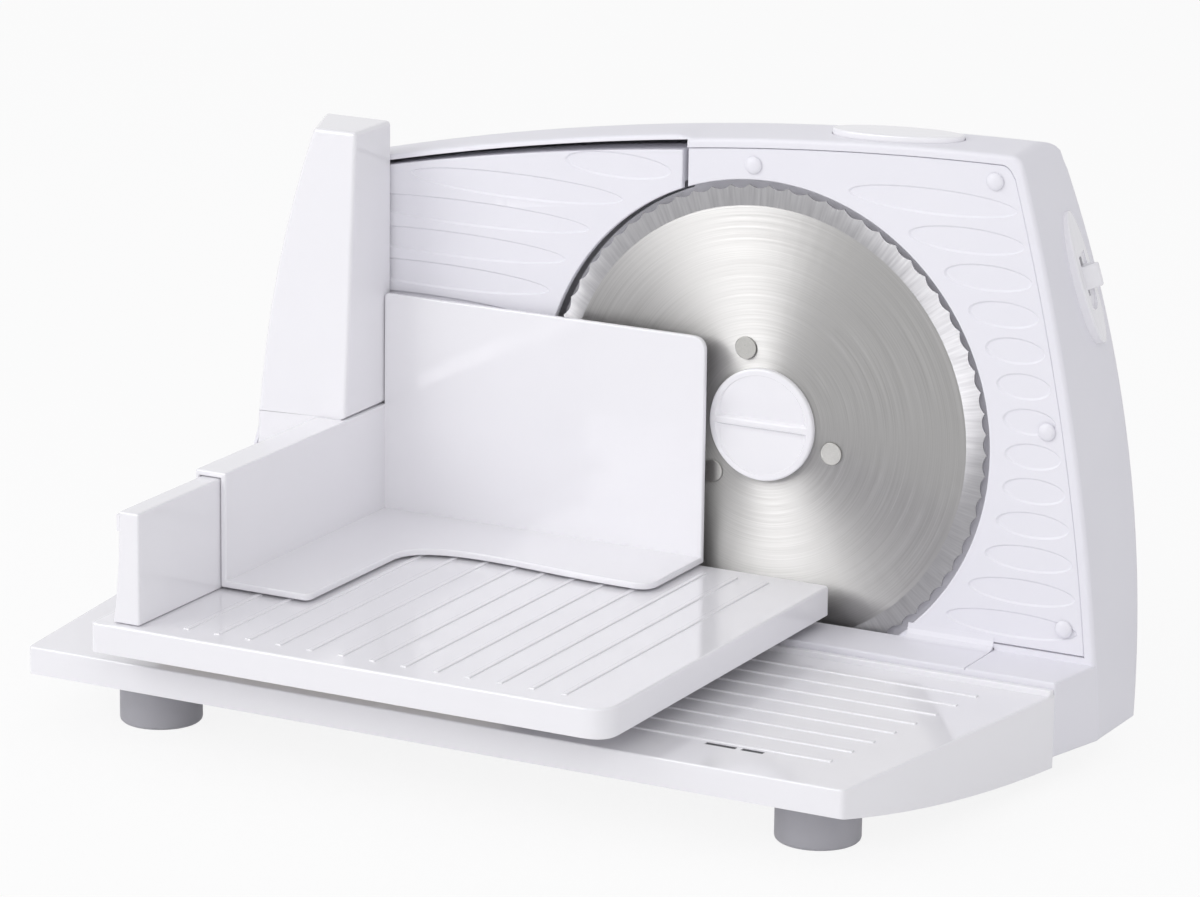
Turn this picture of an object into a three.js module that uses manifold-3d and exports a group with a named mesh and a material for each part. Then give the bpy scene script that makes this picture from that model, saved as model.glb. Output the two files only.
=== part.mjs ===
// Electric food slicer with a wavy round blade, a sliding carriage and a remainder pusher.
// Millimetres. +X runs along the blade's face, +Y to the back, +Z up.
// Everything is laid out from the blade's centre and set down on the table at the end.
import * as THREE from 'three';
import { ConvexGeometry } from 'three/addons/geometries/ConvexGeometry.js';
import { mergeVertices } from 'three/addons/utils/BufferGeometryUtils.js';
import Module from 'manifold-3d';

const wasm = await Module();
wasm.setup();

// Fits: the gap between resting pieces and the gap around moving ones
const REST_GAP = 0.3;
const RUN_GAP = 0.4;
const WALL = 2.5;

// Blade and blade lock
const BLADE_R = 95;
const BLADE_T = 1.2;
const BLADE_TEETH = 72;
const TOOTH_DEPTH = 1.5;
const BEVEL_W = 8.2;
const BEVEL_EDGE_T = 0.4;
const RIVET_COUNT = 3;
const RIVET_CIRCLE_R = 30.8;
const RIVET_FIRST_ANGLE = 105;
const RIVET_SHANK_R = 2;
const RIVET_HEAD_R = 4.5;
const RIVET_HEAD_T = 0.6;
const LOCK_R = 22.5;
const LOCK_PROUD = 2.6;
const LOCK_DISH = 1.3;
const LOCK_RIM_W = 3.5;
const LOCK_BAR_W = 5.5;
const LOCK_SHANK_R = 7.5;
const LOCK_SHANK_L = 12;

// Heights: the axle over the table, then the levels of the base from the table up
const AXLE_HEIGHT = 116;
const REAR_FOOT_H = 10.5;
const SILL_H = 29.6;
const PLATE_LOW_GAP = 2.9;
const TRAY_STEP = 4.6;
const TRAY_CLEARANCE = 6.5;
const GLIDE_H = 9.4;
const CARRIAGE_T = 11.6;
const tableZ = -AXLE_HEIGHT;
const HOUSING_LOW_Z = tableZ + REAR_FOOT_H;
const SILL_TOP_Z = HOUSING_LOW_Z + SILL_H;
const PLATE_LOW_Z = SILL_TOP_Z + PLATE_LOW_GAP;
const TRAY_TOP_Z = SILL_TOP_Z - TRAY_STEP;
const TRAY_BACK_LOW_Z = tableZ + TRAY_CLEARANCE;
const CARRIAGE_TOP_Z = TRAY_TOP_Z + GLIDE_H + CARRIAGE_T;

// Worm drive: one thread on the motor shaft turns the gear on the blade's back
const GEAR_TEETH = 48;
const GEAR_MODULE = 1.5;
const GEAR_W = 10;
const GEAR_MID_Y = 23.5;
const GEAR_FLANGE_R = 37;
const GEAR_FLANGE_T = 3.2;
const GEAR_NECK_R = 20;
const WORM_PITCH_R = 7;
const WORM_L = 24;
const TOOTH_BACKLASH = 0.5;
const AXLE_R = 6;
const AXLE_FLANGE_R = 10;
const AXLE_FLANGE_T = 2.2;
const AXLE_STUD_R = 4.5;
const NUT_R = 8.5;
const NUT_T = 4.5;
const MOTOR_SHAFT_R = 3;
const MOTOR_R = 15;
const MOTOR_L = 46;
const MOTOR_FLOOR_GAP = 9.5;
const MOTOR_TOP_Z = HOUSING_LOW_Z + MOTOR_FLOOR_GAP + MOTOR_L;
const ARMATURE_R = 11;
const ARMATURE_INSET = 8;
const FAN_R = 11.5;
const FAN_T = 3.6;
const FAN_BLADES = 6;
const BUSH_WALL = 3;
const BUSH_L = 6;
const BRACKET_T = 3;
const BRACKET_W = 18;
const BRACKET_EAR_L = 19;
const BRACKET_SCREW_Z = 8;

// Housing: arched front outline, depth and front plane
const FRONT_Y = -2;
const BACK_MID_Z = 5;
const BACK_R = 465;
const MOTOR_BACK_GAP = 1.53;
const backCurve = (z) => (z - BACK_MID_Z) ** 2 / (2 * BACK_R);
const BACK_Y = GEAR_MID_Y + MOTOR_R + MOTOR_BACK_GAP + WALL + backCurve(MOTOR_TOP_Z - MOTOR_L);
const BACK_SIDE_ROUND = 9;
const BACK_TOP_ROUND = 21;
const PANEL_INSET = 12;
const BEZEL_W = 3.2;
const SIDE_FOOT_X = 148;
const SIDE_R = 935;
const SIDE_LOW_Z = -160;
const TOP_GAP = 25.3;
const TOP_Z = BLADE_R + TOP_GAP;
const TOP_X = 105;
const TOP_R = 1181;
const LEFT_FOOT_X = -243;
const LEFT_LEAN = 0.3;
const TOP_RIGHT_ROUND = 9;
const TOP_LEFT_ROUND = 12;
const FOOT_ROUND = 3;
const PANEL_ROUND = 10;
const SILL_FRONT_Y = -29;

// Front plates: blade cover, gauge plate, their sunken ellipses and snap rivets
const PLATE_T = 2.5;
const PLATE_FRONT_Y = -1.5;
const PLATE_RING_GAP = 3;
const CUTOUT_R = BLADE_R + PLATE_RING_GAP;
const BLADE_RING_GAP = 2;
const BLADE_RECESS_R = BLADE_R + BLADE_RING_GAP;
const BLADE_RECESS_Y = 5;
const COVER_LEFT_X = -34;
const COVER_TOP_DROP = 1.6;
const GAUGE_RIGHT_X = -36.5;
const GAUGE_TOP_DROP = 2.4;
const GAUGE_TOP_GAP = 3.4;
const GAUGE_SIDE_GAP = 1;
const GAUGE_FLANGE_L = 11;
const GAUGE_FLANGE_T = 2.2;
const GAUGE_FLANGE_DROP = 4.6;
const GAUGE_TRAVEL = 15;
const GAUGE_POCKET_Y = 17.5;
const ELLIPSE_PITCH = 13.5;
const ELLIPSE_TOP_DROP = 22.9;
const ELLIPSE_TOP_Z = TOP_Z - ELLIPSE_TOP_DROP;
const ELLIPSE_H = 10.4;
const ELLIPSE_DEPTH = 0.5;
const ELLIPSE_RING_GAP = 5.5;
const ELLIPSE_CIRCLE_R = CUTOUT_R + ELLIPSE_RING_GAP;
const ELLIPSE_EDGE = 4.7;
const ELLIPSE_LOW_EDGE = 2.5;
const ELLIPSE_ROOM = ELLIPSE_TOP_Z - ELLIPSE_H / 2 - ELLIPSE_LOW_EDGE - PLATE_LOW_Z;
const ELLIPSE_ROWS = 1 + Math.floor(ELLIPSE_ROOM / ELLIPSE_PITCH);
const DOME_R = 3.5;
const DOME_RISE = 1.5;
const DOME_FIRST_X = -5.6;
const DOME_TOP_DROP = 12.3;
const DOME_MID_Z = 13.5;
const DOME_LOW_RISE = 9.8;
const DOME_INSETS = [13.4, 11.1, 12.5];

// Thickness drive: posts, spindle, nut and dial
const POST_R = 5;
const POST_X = -130;
const POST_SPREAD = 55;
const SPINDLE_Z = 5;
const SPINDLE_R = 4.5;
const THREAD_RISE = 1.4;
const THREAD_LEAD = 18;
const NUT_TUBE_WALL = 2.5;
const NUT_TUBE_L = 26;
const GUIDE_BUSH_L = 8;
const POST_L = 29;
const DIAL_R = 25;
const DIAL_SKIRT_T = 3;
const DIAL_GRIP_R = 17;
const DIAL_GRIP_L = 13;
const DIAL_FLUTES = 12;

// Tray and feet
const TRAY_FRONT_Y = -172;
const TRAY_FRONT_LEFT_X = -229.5;
const TRAY_FRONT_RIGHT_X = 119.5;
const TRAY_LEFT_FLARE = 0.118;
const TRAY_RIGHT_FLARE = 0.14;
const TRAY_FRONT_T = 11;
const TRAY_RIBS = 8;
const TRAY_RIB_FIRST_Y = -46.3;
const TRAY_RIB_PITCH = 14;
const TRAY_RIB_W = 2.2;
const TRAY_RIB_H = 1;
const TRAY_RIB_MARGIN = 22;
const RAIL_W = 3.2;
const RAIL_H = 2.2;
const SLIT_INSET = 24;
const SLIT_Y = TRAY_FRONT_Y + SLIT_INSET;
const SLIT_W = 1.4;
const SLITS = [[51.7, 64], [66.5, 75.2]];
const FRONT_FOOT_R = 16.2;
const FRONT_FOOT_INSET = 42;
const FRONT_FOOT_SIDE_INSETS = [33.8, 29.9];
const FRONT_FOOT_Y = TRAY_FRONT_Y + FRONT_FOOT_INSET;
const FRONT_FOOT_X = [TRAY_FRONT_LEFT_X + FRONT_FOOT_SIDE_INSETS[0],
  TRAY_FRONT_RIGHT_X - FRONT_FOOT_SIDE_INSETS[1]];
const FRONT_FOOT_H = 16;
const REAR_FOOT_R = 11;
const REAR_FOOT_Y = 28;
const REAR_FOOT_SIDE_INSETS = [25, 32];
const REAR_FOOT_X = [LEFT_FOOT_X + REAR_FOOT_SIDE_INSETS[0], SIDE_FOOT_X - REAR_FOOT_SIDE_INSETS[1]];
const FOOT_PEG_R = 4.5;
const FOOT_PEG_L = 8;
const FOOT_CHAMFER = 1.2;

// Carriage, fence and finger guard
const CARRIAGE_LEFT_X = -188.6;
const CARRIAGE_RIGHT_X = 32.9;
const CARRIAGE_FRONT_Y = -191.1;
const CARRIAGE_BACK_Y = -5;
const CARRIAGE_CORNER = 10;
const CARRIAGE_SMALL_CORNER = 2.5;
const CARRIAGE_RIBS = 13;
const CARRIAGE_RIB_INSET = 36.6;
const CARRIAGE_RIB_FIRST_X = CARRIAGE_LEFT_X + CARRIAGE_RIB_INSET;
const CARRIAGE_RIB_PITCH = 13.5;
const CARRIAGE_RIB_W = 2.4;
const CARRIAGE_RIB_H = 0.8;
const CARRIAGE_RIB_MARGIN = 10;
const GLIDE_W = 9;
const GLIDE_L = 150;
const GLIDE_SIDE_INSET = 13.6;
const GLIDE_FRONT_INSET = 27.1;
const GLIDE_BACK_INSET = 38.5;
const GLIDE_X = CARRIAGE_LEFT_X + GLIDE_SIDE_INSET;
const GLIDE_FRONT_Y = CARRIAGE_FRONT_Y + GLIDE_FRONT_INSET;
const GLIDE_REAR_Y = CARRIAGE_BACK_Y - GLIDE_BACK_INSET;
const FENCE_SIDE_INSET = 20;
const FENCE_RIGHT_X = CARRIAGE_LEFT_X + FENCE_SIDE_INSET;
const FENCE_T = 8.8;
const FENCE_H = 44.4;
const FENCE_TOP_Z = CARRIAGE_TOP_Z + FENCE_H;
const FENCE_FRONT_INSET = 3.1;
const FENCE_FRONT_Y = CARRIAGE_FRONT_Y + FENCE_FRONT_INSET;
const FENCE_FLARE = 3.4;
const FENCE_FLARE_H = 9;
const FENCE_STOP_W = 2.8;
const FENCE_STOP_L = 5.5;
const GUARD_FRONT_Y = -38;
const GUARD_BACK_Y = -2.9;
const GUARD_H = 162.3;
const GUARD_TOP_Z = CARRIAGE_TOP_Z + GUARD_H;
const GUARD_OVERLAP = 2;
const GUARD_RIGHT_X = FENCE_RIGHT_X + GUARD_OVERLAP;
const GUARD_OVERHANG = 18.9;
const GUARD_LEFT_X = CARRIAGE_LEFT_X - GUARD_OVERHANG;
const GUARD_LEFT_R = 408;
const GUARD_LEFT_LOW_H = 19.5;
const GUARD_LEFT_LOW_Z = CARRIAGE_TOP_Z + GUARD_LEFT_LOW_H;
const GUARD_LEAN = 0.067;
const GUARD_LEFT_FLARE = 0.4;
const GUARD_WALL = 2.2;

// Pusher
const PUSHER_FRONT_Y = -130;
const PUSHER_PLATE_FRONT_Y = -8;
const PUSHER_T = 2.5;
const PUSHER_TOP_T = 2.3;
const PUSHER_FLANGE_T = 1.6;
const PUSHER_FLANGE_H = 5;
const PUSHER_PLATE_H = 93;
const PUSHER_PLATE_TOP_Z = CARRIAGE_TOP_Z + PUSHER_PLATE_H;
const PUSHER_PLATE_RIGHT_X = -22;
const PUSHER_PLATE_ROUND = 6;
const PUSHER_FLOOR_T = 1.8;
const PUSHER_FLOOR_SIDE_W = 37;
const PUSHER_FLOOR_BACK_W = 39.5;
const PUSHER_FLOOR_END_W = 44;
const PUSHER_FLOOR_ROUND = 16;

// Power button on the top and switch on the right side
const BUTTON_L = 55;
const BUTTON_W = 19;
const BUTTON_SLANT = 1.7;
const BUTTON_X = 49.5;
const BUTTON_Y = 11.4;
const BUTTON_STEM_SHIFT = 1.6;
const BUTTON_PROUD = 2.2;
const BUTTON_TRAVEL = 2;
const BUTTON_T = 9;
const BUTTON_STEM_R = 2.6;
const BUTTON_STEM_L = 20;
const SPRING_R = 4.1;
const SPRING_WIRE_R = 0.5;
const SPRING_TURNS = 5;
const SPRING_PITCH = 2.6;
const SWITCH_Y = 29.5;
const SWITCH_Z = 67.5;
const SWITCH_TILT = 8;
const SWITCH_PAD_W = 19;
const SWITCH_PAD_H = 54;
const SWITCH_PAD_T = 2.6;
const SWITCH_PAD_EDGE_T = 0.8;
const SWITCH_SLOT_W = 9;
const SWITCH_SLOT_H = 21;
const SWITCH_TRAVEL = 4;
const NUB_W = 7;
const NUB_H = 9;
const NUB_PROUD = 5.5;
const MICRO_SWITCH = [20, 10, 16];

// Back panel: vents and cord inlet
const POST_END_GAP = 0.8;
const GLAND_R = 5;
const GLAND_BORE_R = 2.5;
const GLAND_L = 9;
const GLAND_COLLAR_L = 5;
const GLAND_SPOT = [92, -42];
const VENT_SLOTS = 7;
const VENT_L = 44;
const VENT_W = 3.4;
const VENT_PITCH = 7;
const VENT_H = 15.5;
const VENT_LOW_Z = HOUSING_LOW_Z + VENT_H;

// Screws
const SCREW_R = 1.7;
const SCREW_HEAD_R = 3.4;
const SCREW_HEAD_T = 2.2;
const SCREW_L = 12;
const SHORT_SCREW_L = 8;
const REAR_SCREW_INSET = 28;
const REAR_SCREW_LOW_H = 23.5;
const REAR_SCREW_MID_Z = 52;
const REAR_SCREW_TOP_DROP = 28.3;
const TRAY_SCREW_X = [-150, 60];
const TRAY_SCREW_H = 9.5;

// Sizes worked out from the ones above
const ROUND = 40;
const SMALL_ROUND = 12;
const DEG = Math.PI / 180;
const gearPitchR = GEAR_TEETH * GEAR_MODULE / 2;
const wormPitch = Math.PI * GEAR_MODULE;
const wormX = gearPitchR + WORM_PITCH_R;
const gearBackY = GEAR_MID_Y + GEAR_W / 2;
const gearFrontY = BLADE_T + REST_GAP;
const wellR = gearPitchR + 8;
const wellFloorY = gearBackY + RUN_GAP + AXLE_FLANGE_T + REST_GAP;
const bracketScrewSpots = [-1, 1].map((side) => [wormX - BRACKET_EAR_L, side * BRACKET_SCREW_Z]);
const trayScrewSpots = TRAY_SCREW_X.map((x) => [x, HOUSING_LOW_Z + TRAY_SCREW_H]);
const plateBackY = PLATE_FRONT_Y + PLATE_T;
const trayBackY = SILL_FRONT_Y - REST_GAP;
const carriageLowZ = CARRIAGE_TOP_Z - CARRIAGE_T;
const ribTopZ = CARRIAGE_TOP_Z + CARRIAGE_RIB_H;
const pusherLowZ = ribTopZ + RUN_GAP;

// Turns a closed three.js geometry into a solid, right way out
function solid(geometry) {
  const bare = geometry.clone();
  bare.deleteAttribute('normal');
  bare.deleteAttribute('uv');
  const merged = mergeVertices(bare, 1e-4);
  const points = merged.attributes.position.array;
  const corners = [];
  let volume = 0;
  const a = new THREE.Vector3();
  const b = new THREE.Vector3();
  const c = new THREE.Vector3();
  for (let i = 0; i < merged.index.count; i += 3) {
    const [p, q, r] = [0, 1, 2].map((k) => merged.index.getX(i + k));
    if (p === q || q === r || r === p) continue;
    corners.push(p, q, r);
    a.fromArray(points, 3 * p);
    b.fromArray(points, 3 * q);
    c.fromArray(points, 3 * r);
    volume += a.dot(b.cross(c));
  }
  if (volume < 0) corners.reverse();
  return new wasm.Manifold(new wasm.Mesh({
    numProp: 3,
    vertProperties: new Float32Array(points),
    triVerts: new Uint32Array(corners),
  }));
}

const join = (first, ...others) => others.reduce((sum, other) => sum.add(other), first);
const cut = (first, ...others) => others.reduce((rest, other) => rest.subtract(other), first);

// An outline through corners [x, y, r], where r rounds that corner
function outline(corners) {
  const points = corners.map(([x, y]) => new THREE.Vector2(x, y));
  const shape = new THREE.Shape();
  corners.forEach(([x, y, r = 0], i) => {
    const here = points[i];
    const before = points[(i + points.length - 1) % points.length];
    const after = points[(i + 1) % points.length];
    const start = before.clone().sub(here).setLength(r).add(here);
    const end = after.clone().sub(here).setLength(r).add(here);
    if (i === 0) shape.moveTo(start.x, start.y);
    else shape.lineTo(start.x, start.y);
    if (r > 0) shape.quadraticCurveTo(x, y, end.x, end.y);
  });
  shape.closePath();
  return shape;
}

const oval = (w, h, x = 0, y = 0) => {
  const shape = new THREE.Shape();
  shape.absellipse(x, y, w / 2, h / 2, 0, 2 * Math.PI, false, 0);
  return shape;
};

const range = (n) => Array.from({ length: n }, (_, i) => i);
const spread = (from, to, n) => range(n).map((i) => from + (to - from) * i / (n - 1));

// Prisms: an outline drawn in the plane square to the named axis
function alongZ(shape, from, to, curveSegments = 6) {
  const options = { depth: to - from, bevelEnabled: false, curveSegments };
  return solid(new THREE.ExtrudeGeometry(shape, options).translate(0, 0, from));
}
function alongY(shape, from, to, curveSegments = 6) {
  const options = { depth: to - from, bevelEnabled: false, curveSegments };
  return solid(new THREE.ExtrudeGeometry(shape, options).translate(0, 0, -to).rotateX(Math.PI / 2));
}
function alongX(shape, from, to, curveSegments = 6) {
  const options = { depth: to - from, bevelEnabled: false, curveSegments };
  const turn = new THREE.Matrix4().makeBasis(
    new THREE.Vector3(0, 1, 0), new THREE.Vector3(0, 0, 1), new THREE.Vector3(1, 0, 0));
  return solid(new THREE.ExtrudeGeometry(shape, options).translate(0, 0, from).applyMatrix4(turn));
}

// Turned pieces: a profile of [radius, height], about Y at (x, z) or about Z at (x, y)
function turnedY(profile, x = 0, z = 0, segments = ROUND) {
  const points = profile.map(([r, h]) => new THREE.Vector2(r, h));
  return solid(new THREE.LatheGeometry(points, segments).translate(x, 0, z));
}
function turnedZ(profile, x = 0, y = 0, segments = ROUND) {
  const points = profile.map(([r, h]) => new THREE.Vector2(r, h));
  return solid(new THREE.LatheGeometry(points, segments).rotateX(Math.PI / 2).translate(x, y, 0));
}
const rod = (r, from, to) => [[0, from], [r, from], [r, to], [0, to]];
const ring = (r, bore, from, to) => [[bore, from], [r, from], [r, to], [bore, to], [bore, from]];

function box(x0, x1, y0, y1, z0, z1) {
  const geometry = new THREE.BoxGeometry(x1 - x0, y1 - y0, z1 - z0);
  return solid(geometry.translate((x0 + x1) / 2, (y0 + y1) / 2, (z0 + z1) / 2));
}

// Housing outline: left side leans in, top and right side are shallow arcs
const sideRight = (z) => SIDE_FOOT_X - (z - SIDE_LOW_Z) ** 2 / (2 * SIDE_R);
const sideLeft = (z) => LEFT_FOOT_X + Math.max(0, z - SILL_TOP_Z) * LEFT_LEAN;
const topArc = (x) => TOP_Z - (x - TOP_X) ** 2 / (2 * TOP_R);

// Where the top arc meets a side, found by stepping from one to the other
function corner(side) {
  let z = TOP_Z;
  for (let i = 0; i < 20; i += 1) z = topArc(side(z));
  return [side(z), z];
}
const [cornerRightX, cornerRightZ] = corner(sideRight);
const [cornerLeftX, cornerLeftZ] = corner(sideLeft);

// The cover's snap rivets and the back's screws keep their distance from the outline
const domeHeights = [TOP_Z - DOME_TOP_DROP, DOME_MID_Z, PLATE_LOW_Z + DOME_LOW_RISE];
const DOME_SPOTS = [
  [DOME_FIRST_X, topArc(DOME_FIRST_X) - DOME_TOP_DROP],
  ...domeHeights.map((z, i) => [sideRight(z) - DOME_INSETS[i], z]),
];
const rearLowZ = HOUSING_LOW_Z + REAR_SCREW_LOW_H;
const rearTopZ = TOP_Z - REAR_SCREW_TOP_DROP;
const rearScrewSpots = [
  [sideLeft(rearLowZ) + REAR_SCREW_INSET, rearLowZ],
  [sideRight(rearLowZ) - REAR_SCREW_INSET, rearLowZ],
  [sideLeft(REAR_SCREW_MID_Z) + REAR_SCREW_INSET, REAR_SCREW_MID_Z],
  [sideRight(rearTopZ) - REAR_SCREW_INSET, rearTopZ],
];

function housingOutline(inset, lowZ, lowRound = 0) {
  const rightEnd = cornerRightZ - TOP_RIGHT_ROUND - inset;
  const leftEnd = cornerLeftZ - TOP_LEFT_ROUND - inset;
  const left = (z) => [sideLeft(z) + inset, z];
  const right = (z) => [sideRight(z) - inset, z];
  const top = (x) => [x, topArc(x) - inset];
  const lowLeft = left(lowZ);
  const lowRight = right(lowZ);
  lowLeft.push(lowRound);
  lowRight.push(lowRound);
  const rounded = (point, r) => [...point, r];
  return outline([
    lowRight,
    ...spread(lowZ + lowRound + 1, rightEnd, 7).map(right),
    rounded([cornerRightX - inset, cornerRightZ - inset], TOP_RIGHT_ROUND * 0.9),
    ...spread(cornerRightX - TOP_RIGHT_ROUND - inset, cornerLeftX + TOP_LEFT_ROUND + inset, 11).map(top),
    rounded([cornerLeftX + inset, cornerLeftZ - inset], TOP_LEFT_ROUND * 0.9),
    left(leftEnd),
    left(Math.max(SILL_TOP_Z, lowZ + lowRound + 1)),
    lowLeft,
  ]);
}

// Closed body: arched outline in front, pillow-shaped back with rounded edges
const backAt = (z) => BACK_Y - backCurve(z);
const roundDrop = (r, edge) => (edge >= r ? 0 : r - Math.sqrt(r * r - (r - Math.max(0, edge)) ** 2));
function bodyForm(inset, front, steps) {
  const low = HOUSING_LOW_Z + inset;
  const ring = (extra) => housingOutline(inset + extra, low + extra, FOOT_ROUND).getPoints(3);
  const backRims = steps.flatMap((extra) => ring(extra).map(({ x, y: z }) => {
    const side = Math.min(sideRight(z) - x, x - sideLeft(z)) - inset;
    const drop = Math.max(roundDrop(BACK_TOP_ROUND, topArc(x) - inset - z),
      roundDrop(BACK_SIDE_ROUND, side), roundDrop(BACK_SIDE_ROUND, z - low));
    return new THREE.Vector3(x, backAt(z) - inset - drop, z);
  }));
  const frontRim = ring(0).map(({ x, y: z }) => new THREE.Vector3(x, front, z));
  return solid(new ConvexGeometry([...frontRim, ...backRims]));
}

// The blade cover's plate outline, left open where the blade stands
function coverPlate(grow, from, to) {
  const sheet = alongY(housingOutline(BEZEL_W + COVER_TOP_DROP - grow, PLATE_LOW_Z - grow), from, to);
  const keepLeft = COVER_LEFT_X - grow;
  const leftPart = box(cornerLeftX * 2, keepLeft, from - 1, to + 1, PLATE_LOW_Z * 2, TOP_Z * 2);
  const lowLeft = box(cornerLeftX * 2, 0, from - 1, to + 1, PLATE_LOW_Z * 2, 0);
  return cut(sheet, leftPart, lowLeft);
}

// The gauge plate's outline follows the blade on its right and the arch above
function gaugeSheet(grow, from, to, topGrow = grow) {
  const sheet = alongY(housingOutline(BEZEL_W + GAUGE_TOP_DROP - topGrow, PLATE_LOW_Z - grow), from, to);
  const rightPart = box(GAUGE_RIGHT_X + grow, SIDE_FOOT_X, from - 1, to + 1, PLATE_LOW_Z * 2, TOP_Z * 2);
  const circle = turnedY(rod(CUTOUT_R - grow, from - 1, to + 1));
  return cut(sheet, rightPart, circle);
}

// A strip along the top edge of that outline: the plate's flange and the channel it moves in
function gaugeTopStrip(grow, from, to, topGrow, thick) {
  const sheet = gaugeSheet(grow, from, to, topGrow);
  const lowered = gaugeSheet(grow + 1, from - 1, to + 1, topGrow).translate(0, 0, -thick);
  const lowZ = cornerLeftZ - GAUGE_FLANGE_DROP - grow;
  const low = box(LEFT_FOOT_X, 0, from - 1, to + 1, PLATE_LOW_Z * 2, lowZ);
  return cut(sheet, lowered, low);
}

// Sunken ellipses in rows, between an edge and the circle round the blade
function ellipseRow(z, left, right) {
  const shape = oval(right - left, ELLIPSE_H, (left + right) / 2, z);
  return alongY(shape, PLATE_FRONT_Y - 1, PLATE_FRONT_Y + ELLIPSE_DEPTH, 7);
}
const rowZ = (row) => ELLIPSE_TOP_Z - row * ELLIPSE_PITCH;
const circleX = (z) => Math.sqrt(Math.max(0, ELLIPSE_CIRCLE_R ** 2 - z * z));

function bladeCover() {
  const plate = cut(coverPlate(0, PLATE_FRONT_Y, plateBackY),
    turnedY(rod(CUTOUT_R, PLATE_FRONT_Y - 1, plateBackY + 1), 0, 0, 2 * ROUND));
  const rows = range(ELLIPSE_ROWS).map((row) => {
    const z = rowZ(row);
    return ellipseRow(z, circleX(z), sideRight(z) - ELLIPSE_EDGE);
  });
  const holes = DOME_SPOTS.map(([x, z]) =>
    turnedY(rod(RIVET_SHANK_R + REST_GAP, PLATE_FRONT_Y - 2, plateBackY + 1), x, z, SMALL_ROUND));
  return cut(plate, ...rows, ...holes);
}

function coverRivet([x, z]) {
  const face = PLATE_FRONT_Y - REST_GAP;
  const end = plateBackY + 2 * WALL;
  return turnedY([[0, face - DOME_RISE], [DOME_R * 0.55, face - DOME_RISE * 0.82],
    [DOME_R * 0.87, face - DOME_RISE * 0.4], [DOME_R, face], [RIVET_SHANK_R, face],
    [RIVET_SHANK_R, end], [0, end]], x, z, SMALL_ROUND);
}

function gaugePlate() {
  const plate = gaugeSheet(0, PLATE_FRONT_Y, plateBackY);
  const flange = gaugeTopStrip(0, plateBackY - 0.5, plateBackY + GAUGE_FLANGE_L, 0, GAUGE_FLANGE_T);
  const rows = range(ELLIPSE_ROWS).map((row) => {
    const z = rowZ(row);
    const roof = TOP_X - Math.sqrt(2 * TOP_R * (TOP_Z - BEZEL_W - GAUGE_TOP_DROP - z - ELLIPSE_H * 0.3));
    const left = Math.max(sideLeft(z) + BEZEL_W + GAUGE_TOP_DROP + ELLIPSE_EDGE, roof);
    return ellipseRow(z, left, Math.min(-circleX(z), GAUGE_RIGHT_X - ELLIPSE_EDGE));
  });
  return cut(join(plate, flange), ...rows);
}

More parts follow.
